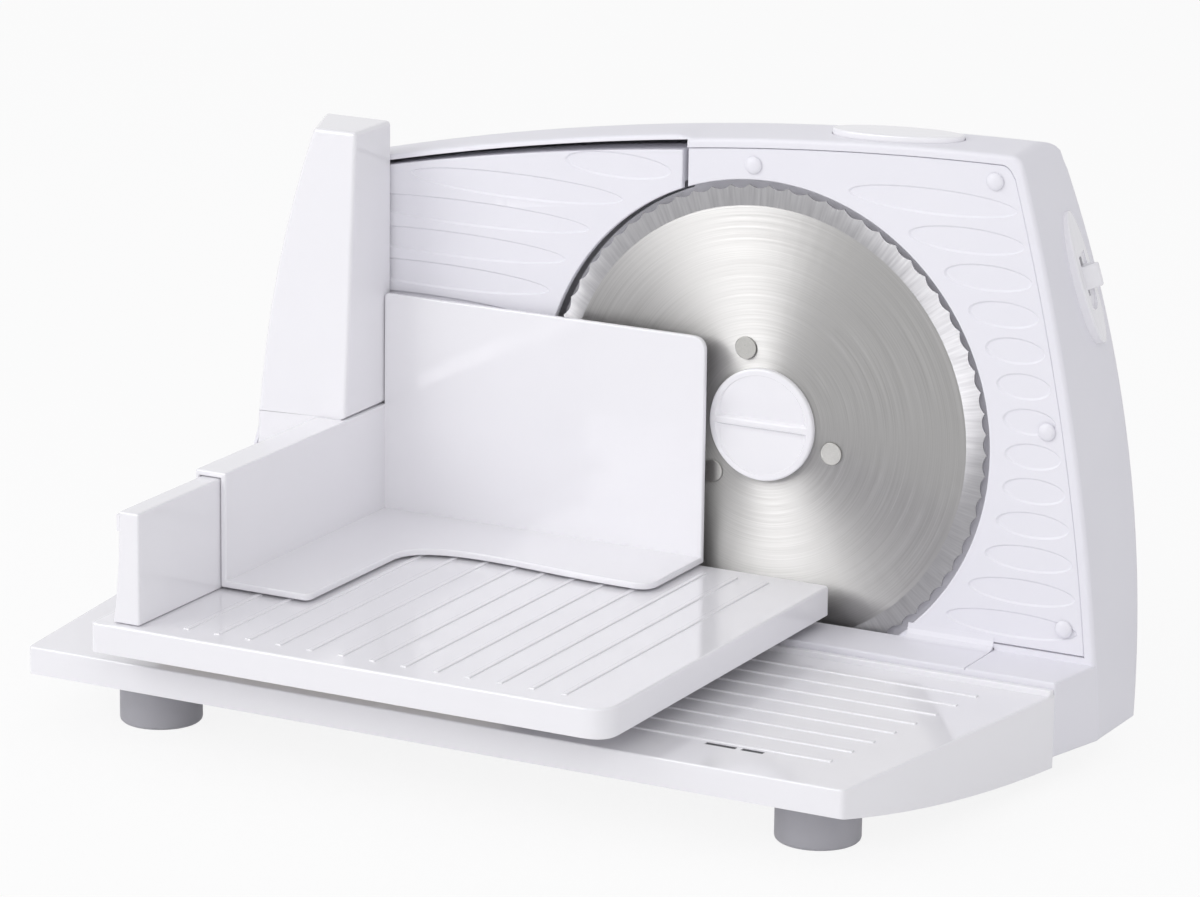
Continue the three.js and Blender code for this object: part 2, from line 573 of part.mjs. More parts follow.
// Shell: arch and sill, hollow at the back, with pockets for the plates, the blade and the gear
function housingShell() {
  const arch = bodyForm(0, FRONT_Y, [0, 1, 3.5, 9, 15, 21]);
  const sillForm = (inset, back, low, top) => solid(new ConvexGeometry([low, top].flatMap((z) => [
    [trayEdge(LEFT, SILL_FRONT_Y) + inset, SILL_FRONT_Y + inset],
    [trayEdge(RIGHT, SILL_FRONT_Y) - inset, SILL_FRONT_Y + inset],
    [sideRight(Math.max(z, HOUSING_LOW_Z)) - inset, back],
    [LEFT_FOOT_X + inset, back],
  ].map(([x, y]) => new THREE.Vector3(x, y, z)))));
  const sill = sillForm(0, FRONT_Y + 0.5, HOUSING_LOW_Z, SILL_TOP_Z);
  const sillHollow = sillForm(WALL, FRONT_Y - WALL, HOUSING_LOW_Z - 10, SILL_TOP_Z - WALL);
  const inside = bodyForm(WALL, BLADE_RECESS_Y + WALL, [0, 4, 21]);
  const opening = alongY(housingOutline(PANEL_INSET, HOUSING_LOW_Z + PANEL_INSET, PANEL_ROUND),
    GEAR_MID_Y, BACK_Y + 5);
  const well = turnedY(rod(wellR, BLADE_RECESS_Y - 1, wellFloorY));
  const wellWall = turnedY(rod(wellR + WALL, 0, wellFloorY + WALL));
  const gaugeBox = gaugeSheet(GAUGE_SIDE_GAP + WALL, 0, GAUGE_POCKET_Y + WALL, GAUGE_TOP_GAP);
  const channelBack = plateBackY + GAUGE_FLANGE_L + GAUGE_TRAVEL + 1;
  const channelBox = gaugeTopStrip(GAUGE_SIDE_GAP + WALL, GAUGE_POCKET_Y, channelBack + WALL, GAUGE_TOP_GAP,
    GAUGE_TOP_GAP + GAUGE_FLANGE_T + 1 + WALL);
  const channel = gaugeTopStrip(GAUGE_SIDE_GAP, GAUGE_POCKET_Y - 1, channelBack, GAUGE_TOP_GAP,
    GAUGE_TOP_GAP + GAUGE_FLANGE_T + 1);
  const bossR = POST_R + RUN_GAP + BUSH_WALL + WALL;
  const bosses = [SPINDLE_Z + POST_SPREAD, SPINDLE_Z - POST_SPREAD].map((z) =>
    turnedY(rod(bossR, GAUGE_POCKET_Y, GAUGE_POCKET_Y + WALL + GUIDE_BUSH_L), POST_X, z, 32));

  const bladeRecess = turnedY(rod(BLADE_RECESS_R, FRONT_Y - 0.001, BLADE_RECESS_Y), 0, 0, 2 * ROUND);
  const coverSeat = coverPlate(RUN_GAP, FRONT_Y - 1, plateBackY + REST_GAP);
  const gaugePocket = gaugeSheet(GAUGE_SIDE_GAP, FRONT_Y - 1, GAUGE_POCKET_Y, GAUGE_TOP_GAP);
  const wormSlot = box(wormX - WORM_PITCH_R - 4, wormX + WORM_PITCH_R + 6,
    GEAR_MID_Y - WORM_PITCH_R - 4, wellFloorY + WALL + 1, -WORM_L / 2 - 14, WORM_L / 2 + 14);
  const studHole = turnedY(rod(AXLE_STUD_R + REST_GAP, wellFloorY - 1, wellFloorY + WALL + 1),
    0, 0, SMALL_ROUND);
  const bracketHoles = bracketScrewSpots.map(([x, z]) =>
    turnedY(rod(SCREW_R + REST_GAP, wellFloorY - 1, wellFloorY + WALL + 1), x, z, SMALL_ROUND));
  const postHoles = [SPINDLE_Z + POST_SPREAD, SPINDLE_Z - POST_SPREAD].flatMap((z) => [
    turnedY(rod(POST_R + RUN_GAP, GAUGE_POCKET_Y - 1, BACK_Y), POST_X, z, SMALL_ROUND),
    turnedY(rod(POST_R + RUN_GAP + BUSH_WALL + REST_GAP, GAUGE_POCKET_Y + WALL, BACK_Y), POST_X, z, 16)]);
  const nutHole = turnedY(rod(nutTubeR + RUN_GAP, GAUGE_POCKET_Y - 1, GAUGE_POCKET_Y + WALL + 1),
    POST_X, SPINDLE_Z, 32);
  const rivetHoles = DOME_SPOTS.map(([x, z]) =>
    turnedY(rod(RIVET_SHANK_R + REST_GAP, plateBackY, BLADE_RECESS_Y + WALL + 1), x, z, SMALL_ROUND));
  const trayHoles = trayScrewSpots.map(([x, z]) =>
    turnedY(rod(SCREW_R + REST_GAP, SILL_FRONT_Y - 1, SILL_FRONT_Y + WALL + 1), x, z, SMALL_ROUND));
  const footHoles = REAR_FOOT_X.map((x) =>
    turnedZ(rod(FOOT_PEG_R + REST_GAP, HOUSING_LOW_Z - 1, HOUSING_LOW_Z + WALL + 1),
      x, REAR_FOOT_Y, SMALL_ROUND));
  const buttonHole = alongZ(oval(BUTTON_L + 2 * RUN_GAP, BUTTON_W + 2 * RUN_GAP, BUTTON_X, BUTTON_Y),
    topArc(BUTTON_X) - 12, TOP_Z + 5, 10);
  const switchHole = switchFrame(box(-12, 6, -SWITCH_SLOT_W / 2, SWITCH_SLOT_W / 2,
    -SWITCH_SLOT_H / 2, SWITCH_SLOT_H / 2));
  const coverHoles = rearScrewSpots.map(([x, z]) =>
    turnedY(rod(SCREW_R + REST_GAP, backAt(z) - WALL - SCREW_L - 1, BACK_Y), x, z, SMALL_ROUND));
  const coverPosts = rearScrewSpots.map(([x, z]) =>
    turnedY(rod(SCREW_HEAD_R + 1.2, BLADE_RECESS_Y + 1, backAt(z) - WALL - 2 * POST_END_GAP),
      x, z, SMALL_ROUND));
  const shelf = box(BUTTON_X - 14, BUTTON_X + 14, BLADE_RECESS_Y + 1, BUTTON_Y + 12, shelfZ - WALL, shelfZ);
  const pegEnd = SWITCH_Y - MICRO_SWITCH[1] / 2 - 2 * POST_END_GAP;
  const switchPegs = [[-24, -8], [-15, 0]].map(([x, z]) =>
    turnedY(rod(3, BLADE_RECESS_Y + 1, pegEnd), sideRight(SWITCH_Z) + x, SWITCH_Z + z, SMALL_ROUND));

  const skin = cut(join(cut(arch, inside, opening), sill), sillHollow);
  const whole = join(skin, wellWall, gaugeBox, channelBox.intersect(arch), ...bosses, shelf,
    ...coverPosts, ...switchPegs);
  return cut(whole, well, bladeRecess, coverSeat, gaugePocket, channel, wormSlot, studHole,
    ...bracketHoles, ...postHoles, nutHole, ...rivetHoles, ...trayHoles, ...footHoles,
    buttonHole, switchHole, ...coverHoles);
}

// Rear cover: a panel set into the back, following its curve
function rearCover() {
  const grow = PANEL_INSET + REST_GAP;
  const sheet = cut(bodyForm(0, FRONT_Y, [3.5, 9, 15, 21]),
    bodyForm(WALL, FRONT_Y - 1, [1, 6.5, 12.5, 18.5]));
  const panel = sheet.intersect(
    alongY(housingOutline(grow, HOUSING_LOW_Z + grow, PANEL_ROUND), GEAR_MID_Y, BACK_Y + 5));
  const screwHoles = rearScrewSpots.map(([x, z]) =>
    turnedY(rod(SCREW_R + REST_GAP, 0, BACK_Y + 5), x, z, SMALL_ROUND));
  const spindleHole = turnedY(rod(SPINDLE_R + RUN_GAP, 0, BACK_Y + 5), POST_X, SPINDLE_Z, SMALL_ROUND);
  const glandHole = turnedY(rod(GLAND_R + REST_GAP, 0, BACK_Y + 5),
    GLAND_SPOT[0], GLAND_SPOT[1], SMALL_ROUND);
  const vents = range(VENT_SLOTS).map((i) =>
    alongY(oval(VENT_L, VENT_W, wormX, VENT_LOW_Z + i * VENT_PITCH), GEAR_MID_Y, BACK_Y + 5, 5));
  return cut(panel, ...screwHoles, spindleHole, glandHole, ...vents);
}

// Tray: trapezoid in plan, thin in front, with a curved underside
const LEFT = -1;
const RIGHT = 1;
function trayEdge(side, y) {
  const depth = y - TRAY_FRONT_Y;
  return side === LEFT
    ? TRAY_FRONT_LEFT_X - depth * TRAY_LEFT_FLARE
    : TRAY_FRONT_RIGHT_X + depth * TRAY_RIGHT_FLARE;
}
function trayPlan(inset) {
  const front = TRAY_FRONT_Y + inset;
  const back = trayBackY - inset;
  return outline([
    [trayEdge(LEFT, front) + inset, front, 2],
    [trayEdge(RIGHT, front) - inset, front, 2],
    [trayEdge(RIGHT, back) - inset, back],
    [trayEdge(LEFT, back) + inset, back],
  ]);
}
function baseTray() {
  const side = new THREE.Shape();
  side.moveTo(TRAY_FRONT_Y, TRAY_TOP_Z);
  side.lineTo(TRAY_FRONT_Y, TRAY_TOP_Z - TRAY_FRONT_T);
  side.quadraticCurveTo((TRAY_FRONT_Y + trayBackY) / 2, TRAY_BACK_LOW_Z + 2, trayBackY, TRAY_BACK_LOW_Z);
  side.lineTo(trayBackY, TRAY_TOP_Z);
  side.closePath();
  const wedge = alongX(side, TRAY_FRONT_LEFT_X * 2, TRAY_FRONT_RIGHT_X * 2, 10)
    .intersect(alongZ(trayPlan(0), TRAY_BACK_LOW_Z - 1, TRAY_TOP_Z + 1, 4));
  const hollow = alongZ(trayPlan(WALL), TRAY_BACK_LOW_Z - 1, TRAY_TOP_Z - WALL, 4);
  const bosses = FRONT_FOOT_X.map((x) =>
    turnedZ(rod(FOOT_PEG_R + REST_GAP + 3, footTopZ + REST_GAP, TRAY_TOP_Z - 1),
      x, FRONT_FOOT_Y, SMALL_ROUND));
  const ribs = range(TRAY_RIBS).map((i) => {
    const y = TRAY_RIB_FIRST_Y - i * TRAY_RIB_PITCH;
    return box(trayEdge(LEFT, y) + TRAY_RIB_MARGIN, trayEdge(RIGHT, y) - TRAY_RIB_MARGIN,
      y - TRAY_RIB_W / 2, y + TRAY_RIB_W / 2, TRAY_TOP_Z - 1, TRAY_TOP_Z + TRAY_RIB_H);
  });
  const rail = box(trayEdge(LEFT, trayBackY - RAIL_W), trayEdge(RIGHT, trayBackY - RAIL_W),
    trayBackY - RAIL_W, trayBackY, TRAY_TOP_Z - 1, TRAY_TOP_Z + RAIL_H);
  const pegHoles = FRONT_FOOT_X.map((x) =>
    turnedZ(rod(FOOT_PEG_R + REST_GAP, footTopZ - 1, footTopZ + FOOT_PEG_L + 1),
      x, FRONT_FOOT_Y, SMALL_ROUND));
  const slits = SLITS.map(([from, to]) =>
    box(from, to, SLIT_Y - SLIT_W / 2, SLIT_Y + SLIT_W / 2, TRAY_TOP_Z - 2 * WALL, TRAY_TOP_Z + 2));
  const screwHoles = trayScrewSpots.map(([x, z]) =>
    turnedY(rod(SCREW_R + REST_GAP, trayBackY - WALL - 1, trayBackY + 1), x, z, SMALL_ROUND));
  return cut(join(cut(wedge, hollow), ...bosses, ...ribs, rail), ...pegHoles, ...slits, ...screwHoles);
}

function foot(x, y, r, top) {
  return turnedZ([[0, tableZ], [r - FOOT_CHAMFER, tableZ], [r, tableZ + FOOT_CHAMFER], [r, top],
    [FOOT_PEG_R, top], [FOOT_PEG_R, top + FOOT_PEG_L], [0, top + FOOT_PEG_L]], x, y, 24);
}

// A screw along Y with its head towards the given side
function screwY([x, z], headY, towards, length = SCREW_L) {
  const tip = headY - towards * length;
  return turnedY([[0, headY + towards * SCREW_HEAD_T], [SCREW_HEAD_R, headY + towards * SCREW_HEAD_T * 0.6],
    [SCREW_HEAD_R, headY], [SCREW_R, headY], [SCREW_R, tip], [0, tip]], x, z, 10);
}

function blade() {
  const teeth = new THREE.Shape();
  const wave = [0, 0.9, 0.9];
  range(BLADE_TEETH * wave.length).forEach((i) => {
    const angle = 2 * Math.PI * i / (BLADE_TEETH * wave.length);
    const r = BLADE_R - TOOTH_DEPTH * wave[i % wave.length];
    if (i === 0) teeth.moveTo(r, 0);
    else teeth.lineTo(r * Math.cos(angle), r * Math.sin(angle));
  });
  const ground = turnedY([[0, 0], [BLADE_R - BEVEL_W, 0], [BLADE_R, BLADE_T - BEVEL_EDGE_T],
    [BLADE_R + 1, BLADE_T - BEVEL_EDGE_T], [BLADE_R + 1, BLADE_T], [0, BLADE_T]], 0, 0, BLADE_TEETH);
  const holes = rivetSpots.map(([x, z]) =>
    turnedY(rod(RIVET_SHANK_R + REST_GAP, -1, BLADE_T + 1), x, z, 16));
  const bore = turnedY(rod(LOCK_SHANK_R + RUN_GAP, -1, BLADE_T + 1), 0, 0, 32);
  return cut(alongY(teeth, -0.5, BLADE_T + 0.5).intersect(ground), bore, ...holes);
}

// Gear on the blade's back: flange, neck and a rim of slanted teeth
function bladeGear() {
  const toothStep = 2 * Math.PI / GEAR_TEETH;
  const half = (height) => (wormPitch / 4 - TOOTH_BACKLASH / 2 - height * Math.tan(20 * DEG)) / gearPitchR;
  const tip = GEAR_MODULE * 0.93;
  const root = -GEAR_MODULE * 1.3;
  const shape = new THREE.Shape();
  range(GEAR_TEETH).forEach((i) => {
    const middle = i * toothStep;
    const corners = [[root, -half(root)], [tip, -half(tip)], [tip, half(tip)], [root, half(root)]];
    corners.forEach(([height, offset], k) => {
      const x = (gearPitchR + height) * Math.cos(middle + offset);
      const z = (gearPitchR + height) * Math.sin(middle + offset);
      if (i === 0 && k === 0) shape.moveTo(x, z);
      else shape.lineTo(x, z);
    });
  });
  const rim = new THREE.ExtrudeGeometry(shape, { depth: GEAR_W, bevelEnabled: false });
  rim.translate(0, 0, -gearBackY).rotateX(Math.PI / 2);
  const slant = wormPitch / (2 * Math.PI * WORM_PITCH_R) / gearPitchR;
  const place = rim.attributes.position;
  const point = new THREE.Vector3();
  const upY = new THREE.Vector3(0, 1, 0);
  range(place.count).forEach((i) => {
    point.fromBufferAttribute(place, i);
    point.applyAxisAngle(upY, (point.y - GEAR_MID_Y) * slant);
    place.setXYZ(i, point.x, point.y, point.z);
  });
  const flangeBack = gearFrontY + GEAR_FLANGE_T;
  const neck = turnedY([[0, gearFrontY], [GEAR_FLANGE_R, gearFrontY], [GEAR_FLANGE_R, flangeBack],
    [GEAR_NECK_R, flangeBack + 1], [GEAR_NECK_R, GEAR_MID_Y], [0, GEAR_MID_Y]]);
  const bore = turnedY(rod(AXLE_R + RUN_GAP, gearFrontY - 1, gearBackY + 1), 0, 0, 32);
  const lockBore = turnedY(rod(LOCK_SHANK_R + RUN_GAP, gearFrontY - 1, LOCK_SHANK_L + 1), 0, 0, 32);
  const holes = rivetSpots.map(([x, z]) =>
    turnedY(rod(RIVET_SHANK_R + REST_GAP, gearFrontY - 1, flangeBack + 2), x, z, 16));
  return cut(join(neck, solid(rim)), bore, lockBore, ...holes);
}

function bladeRivet([x, z]) {
  const tail = gearFrontY + GEAR_FLANGE_T + REST_GAP;
  return turnedY([[0, -REST_GAP - RIVET_HEAD_T], [RIVET_HEAD_R - 0.3, -REST_GAP - RIVET_HEAD_T],
    [RIVET_HEAD_R, -REST_GAP], [RIVET_SHANK_R, -REST_GAP], [RIVET_SHANK_R, tail + 1],
    [RIVET_HEAD_R * 0.8, tail + 1], [RIVET_HEAD_R * 0.7, tail + 2], [0, tail + 2]], x, z, 12);
}

// Blade lock: dished disc with a grip bar and a bayonet shank
function bladeLock() {
  const front = -LOCK_PROUD;
  const dish = front + LOCK_DISH;
  const knob = turnedY([[0, dish], [LOCK_R - 2 * LOCK_RIM_W, dish], [LOCK_R - LOCK_RIM_W * 0.7, front],
    [LOCK_R - 0.8, front], [LOCK_R, front + 0.8], [LOCK_R, -REST_GAP],
    [LOCK_SHANK_R, -REST_GAP], [LOCK_SHANK_R, LOCK_SHANK_L], [0, LOCK_SHANK_L]]);
  const barHalf = LOCK_R - LOCK_RIM_W;
  const bar = alongY(outline([
    [-barHalf, -LOCK_BAR_W / 2, 1.5], [barHalf, -LOCK_BAR_W / 2, 1.5],
    [barHalf, LOCK_BAR_W / 2, 1.5], [-barHalf, LOCK_BAR_W / 2, 1.5]]), front, dish + 0.5, 4);
  return join(knob, bar);
}

function bladeAxle() {
  const flangeFront = gearBackY + RUN_GAP;
  const flangeBack = flangeFront + AXLE_FLANGE_T;
  return turnedY([[0, LOCK_SHANK_L + RUN_GAP], [AXLE_R, LOCK_SHANK_L + RUN_GAP], [AXLE_R, flangeFront],
    [AXLE_FLANGE_R, flangeFront], [AXLE_FLANGE_R, flangeBack], [AXLE_STUD_R, flangeBack],
    [AXLE_STUD_R, axleNutY + NUT_T + 1], [0, axleNutY + NUT_T + 1]], 0, 0, 20);
}

// Worm: core with one helical thread, swept as a trapezoid
function worm() {
  const steps = 12;
  const turns = WORM_L / wormPitch - 1;
  const count = Math.round(turns * steps);
  const rootR = WORM_PITCH_R - GEAR_MODULE * 1.3;
  const tipR = WORM_PITCH_R + GEAR_MODULE * 0.93;
  const half = (height) => wormPitch / 4 - TOOTH_BACKLASH / 2 - height * Math.tan(20 * DEG);
  const section = [[rootR - 0.6, -half(rootR - WORM_PITCH_R)], [tipR, -half(tipR - WORM_PITCH_R)],
    [tipR, half(tipR - WORM_PITCH_R)], [rootR - 0.6, half(rootR - WORM_PITCH_R)]];
  const points = [];
  const index = [];
  range(count + 1).forEach((i) => {
    const angle = 2 * Math.PI * (i - count / 2) / steps;
    const rise = wormPitch * angle / (2 * Math.PI);
    section.forEach(([r, z]) => points.push(r * Math.cos(angle), r * Math.sin(angle), rise + z));
    if (i === count) return;
    range(4).forEach((k) => {
      const a = 4 * i + k;
      const b = 4 * i + (k + 1) % 4;
      index.push(a, b, a + 4, b, b + 4, a + 4);
    });
  });
  const end = 4 * count;
  index.push(0, 2, 1, 0, 3, 2, end, end + 1, end + 2, end, end + 2, end + 3);
  const thread = new THREE.BufferGeometry();
  thread.setAttribute('position', new THREE.Float32BufferAttribute(points, 3));
  thread.setIndex(index);
  thread.translate(wormX, GEAR_MID_Y, 0);
  const core = turnedZ(rod(rootR, -WORM_L / 2, WORM_L / 2), wormX, GEAR_MID_Y, 12);
  const bore = turnedZ(rod(MOTOR_SHAFT_R + REST_GAP, -WORM_L, WORM_L), wormX, GEAR_MID_Y, SMALL_ROUND);
  return cut(join(core, solid(thread)), bore);
}

const atMotor = (profile, segments = 20) => turnedZ(profile, wormX, GEAR_MID_Y, segments);
function motorCan() {
  const top = MOTOR_TOP_Z;
  const low = top - MOTOR_L;
  const bore = MOTOR_SHAFT_R + 2;
  const inner = MOTOR_R - 1.8;
  return atMotor([[bore, low], [MOTOR_R, low], [MOTOR_R, top], [bore, top], [bore, top - 2],
    [inner, top - 2], [inner, low + 2], [bore, low + 2], [bore, low]]);
}
function motorFan() {
  const top = MOTOR_TOP_Z - MOTOR_L - 1;
  const hub = atMotor(ring(MOTOR_SHAFT_R + 3, MOTOR_SHAFT_R + REST_GAP, top - FAN_T, top));
  const blades = range(FAN_BLADES).map((i) => {
    const vane = new THREE.BoxGeometry(FAN_R - MOTOR_SHAFT_R - 1.5, 1.2, FAN_T - 0.6);
    vane.rotateX(30 * DEG).translate((FAN_R + MOTOR_SHAFT_R + 1.5) / 2, 0, top - FAN_T / 2);
    vane.rotateZ(2 * Math.PI * i / FAN_BLADES).translate(wormX, GEAR_MID_Y, 0);
    return solid(vane);
  });
  return join(hub, ...blades);
}
function gearboxBracket() {
  const plateY = wellFloorY + WALL + 1;
  const armZ = upperArmZ;
  const lowZ = MOTOR_TOP_Z + REST_GAP;
  const half = BRACKET_W / 2;
  const spine = box(wormX - half, wormX + half, plateY, plateY + BRACKET_T, lowZ, armZ + BUSH_L + 1);
  const ear = box(bracketScrewSpots[0][0] - 6, wormX, plateY, plateY + BRACKET_T, -14, 14);
  const upper = box(wormX - half, wormX + half, GEAR_MID_Y - half, plateY + 0.5, armZ, armZ + BUSH_L + 1);
  const lower = box(wormX - MOTOR_R + 2, wormX + MOTOR_R - 2, GEAR_MID_Y - MOTOR_R + 4, plateY + BRACKET_T,
    lowZ, lowZ + BRACKET_T);
  const bushHole = atMotor(rod(MOTOR_SHAFT_R + BUSH_WALL + REST_GAP, armZ - 1, armZ + BUSH_L + 2), 24);
  const shaftHole = atMotor(rod(MOTOR_SHAFT_R + 2, lowZ - 1, lowZ + BRACKET_T + 1), 24);
  const screwHoles = bracketScrewSpots.map(([x, z]) =>
    turnedY(rod(SCREW_R + REST_GAP, plateY - 1, plateY + BRACKET_T + 1), x, z, SMALL_ROUND));
  return cut(join(spine, ear, upper, lower), bushHole, shaftHole, ...screwHoles);
}

// Thickness drive
const nutTubeR = SPINDLE_R + THREAD_RISE + RUN_GAP + NUT_TUBE_WALL;
function thicknessSpindle() {
  const front = plateBackY + GAUGE_TRAVEL + 1;
  const threadEnd = BACK_Y - 8;
  const core = turnedY(rod(SPINDLE_R, front, BACK_Y + DIAL_SKIRT_T + DIAL_GRIP_L - 4),
    POST_X, SPINDLE_Z, 16);
  const steps = 20;
  const count = Math.floor(steps * (threadEnd - front - 4) / THREAD_LEAD);
  const width = 2.4;
  const section = [[SPINDLE_R - 0.8, -width / 2], [SPINDLE_R + THREAD_RISE, -width / 3],
    [SPINDLE_R + THREAD_RISE, width / 3], [SPINDLE_R - 0.8, width / 2]];
  const points = [];
  const index = [];
  range(count + 1).forEach((i) => {
    const angle = 2 * Math.PI * i / steps;
    const along = front + 2 + THREAD_LEAD * i / steps;
    section.forEach(([r, y]) => points.push(r * Math.cos(angle), along + y, r * Math.sin(angle)));
    if (i === count) return;
    range(4).forEach((k) => {
      const a = 4 * i + k;
      const b = 4 * i + (k + 1) % 4;
      index.push(a, b, a + 4, b, b + 4, a + 4);
    });
  });
  const end = 4 * count;
  index.push(0, 2, 1, 0, 3, 2, end, end + 1, end + 2, end, end + 2, end + 3);
  const thread = new THREE.BufferGeometry();
  thread.setAttribute('position', new THREE.Float32BufferAttribute(points, 3));
  thread.setIndex(index);
  thread.translate(POST_X, 0, SPINDLE_Z);
  return join(core, solid(thread));
}
function thicknessKnob() {
  const back = BACK_Y + POST_END_GAP;
  const grip = new THREE.Shape();
  range(DIAL_FLUTES * 4).forEach((i) => {
    const angle = 2 * Math.PI * i / (DIAL_FLUTES * 4);
    const r = DIAL_GRIP_R - (i % 4 === 0 ? 1.4 : 0);
    if (i === 0) grip.moveTo(r, 0);
    else grip.lineTo(r * Math.cos(angle), r * Math.sin(angle));
  });
  const gripBack = back + DIAL_SKIRT_T + DIAL_GRIP_L;
  const handle = alongY(grip, back + 1, gripBack).translate(POST_X, 0, SPINDLE_Z);
  const skirt = turnedY([[0, back], [DIAL_R, back], [DIAL_R, back + 1], [DIAL_R - 2, back + DIAL_SKIRT_T],
    [0, back + DIAL_SKIRT_T]], POST_X, SPINDLE_Z);
  const bore = turnedY(rod(SPINDLE_R + REST_GAP, back - 1, gripBack - 3.5), POST_X, SPINDLE_Z, 24);
  return cut(join(handle, skirt), bore);
}

// Carriage slab, hollow underneath, with ribs across its top
function carriage() {
  const plan = (inset) => outline([
    [CARRIAGE_LEFT_X + inset, CARRIAGE_FRONT_Y + inset, CARRIAGE_SMALL_CORNER],
    [CARRIAGE_RIGHT_X - inset, CARRIAGE_FRONT_Y + inset, CARRIAGE_CORNER],
    [CARRIAGE_RIGHT_X - inset, CARRIAGE_BACK_Y - inset, CARRIAGE_SMALL_CORNER],
    [CARRIAGE_LEFT_X + inset, CARRIAGE_BACK_Y - inset, CARRIAGE_SMALL_CORNER]]);
  const slab = alongZ(plan(0), carriageLowZ, CARRIAGE_TOP_Z);
  const hollow = alongZ(plan(WALL), carriageLowZ - 1, CARRIAGE_TOP_Z - WALL);
  const ribs = range(CARRIAGE_RIBS).map((i) => {
    const x = CARRIAGE_RIB_FIRST_X + i * CARRIAGE_RIB_PITCH;
    return box(x - CARRIAGE_RIB_W / 2, x + CARRIAGE_RIB_W / 2, CARRIAGE_FRONT_Y + CARRIAGE_RIB_MARGIN,
      CARRIAGE_BACK_Y - CARRIAGE_RIB_MARGIN, CARRIAGE_TOP_Z - 1, ribTopZ);
  });
  const glideSeats = [GLIDE_FRONT_Y, GLIDE_REAR_Y].map((y) =>
    box(GLIDE_X - WALL, GLIDE_X + GLIDE_L + WALL, y - WALL, y + GLIDE_W + WALL,
      carriageLowZ, CARRIAGE_TOP_Z - 1));
  return join(cut(slab, hollow), ...ribs, ...glideSeats);
}
const glide = (y) => box(GLIDE_X, GLIDE_X + GLIDE_L, y, y + GLIDE_W,
  TRAY_TOP_Z + REST_GAP, carriageLowZ - REST_GAP);

function sideFence() {
  const low = CARRIAGE_TOP_Z + REST_GAP;
  const left = FENCE_RIGHT_X - FENCE_T;
  const back = GUARD_FRONT_Y - REST_GAP;
  const outer = outline([[left - FENCE_FLARE, low], [FENCE_RIGHT_X, low], [FENCE_RIGHT_X, FENCE_TOP_Z, 1.5],
    [left, FENCE_TOP_Z, 1.5], [left - 1, low + FENCE_FLARE_H]]);
  const inner = outline([[left + 2 - FENCE_FLARE, low - 1], [FENCE_RIGHT_X - 2, low - 1],
    [FENCE_RIGHT_X - 2, FENCE_TOP_Z - 2], [left + 2, FENCE_TOP_Z - 2], [left + 1, low + FENCE_FLARE_H]]);
  const stop = box(left - FENCE_STOP_W, FENCE_RIGHT_X, FENCE_FRONT_Y, FENCE_FRONT_Y + FENCE_STOP_L,
    low, FENCE_TOP_Z);
  const bar = cut(alongY(outer, FENCE_FRONT_Y, back, 3), alongY(inner, FENCE_FRONT_Y + 2, back - 2));
  return join(bar, stop);
}

// Finger guard: tall hollow post, curved on its left, leaning back in front
function guardForm(inset) {
  const low = CARRIAGE_TOP_Z + REST_GAP - (inset > 0 ? 1 : 0);
  const top = GUARD_TOP_Z - inset;
  const leftAt = (z) => GUARD_LEFT_X + inset + (z - GUARD_LEFT_LOW_Z) ** 2 / (2 * GUARD_LEFT_R);
  const farX = GUARD_RIGHT_X + 60;
  const back = GUARD_BACK_Y + (inset > 0 ? 1 : 0);
  const leftLine = spread(low, top, 12).map((z) => [leftAt(z), z]);
  const face = outline([...leftLine, [farX, top], [farX, low]].reverse());
  const sheet = alongY(face, GUARD_FRONT_Y - 30, back);
  const flared = sheet.transform([1, 0, 0, 0, -GUARD_LEFT_FLARE, 1, 0, 0, 0, 0, 1, 0,
    GUARD_LEFT_FLARE * GUARD_FRONT_Y, 0, 0, 1]);
  const lean = (z) => GUARD_FRONT_Y + inset + Math.max(0, z - FENCE_TOP_Z) * GUARD_LEAN;
  const side = outline([[lean(low), low], [back, low], [back, top], [lean(top), top],
    [lean(FENCE_TOP_Z), FENCE_TOP_Z]]);
  const lowPart = alongX(side, GUARD_LEFT_X - 40, FENCE_RIGHT_X - inset)
    .intersect(box(-400, 0, -400, 400, low - 1, pusherTopZ + RUN_GAP + inset));
  const highPart = alongX(side, GUARD_LEFT_X - 40, GUARD_RIGHT_X - inset)
    .intersect(box(-400, 0, -400, 400, pusherTopZ + RUN_GAP + inset - 0.01, top + 1));
  return flared.intersect(join(lowPart, highPart));
}
const fingerGuard = () => cut(guardForm(0), guardForm(GUARD_WALL));

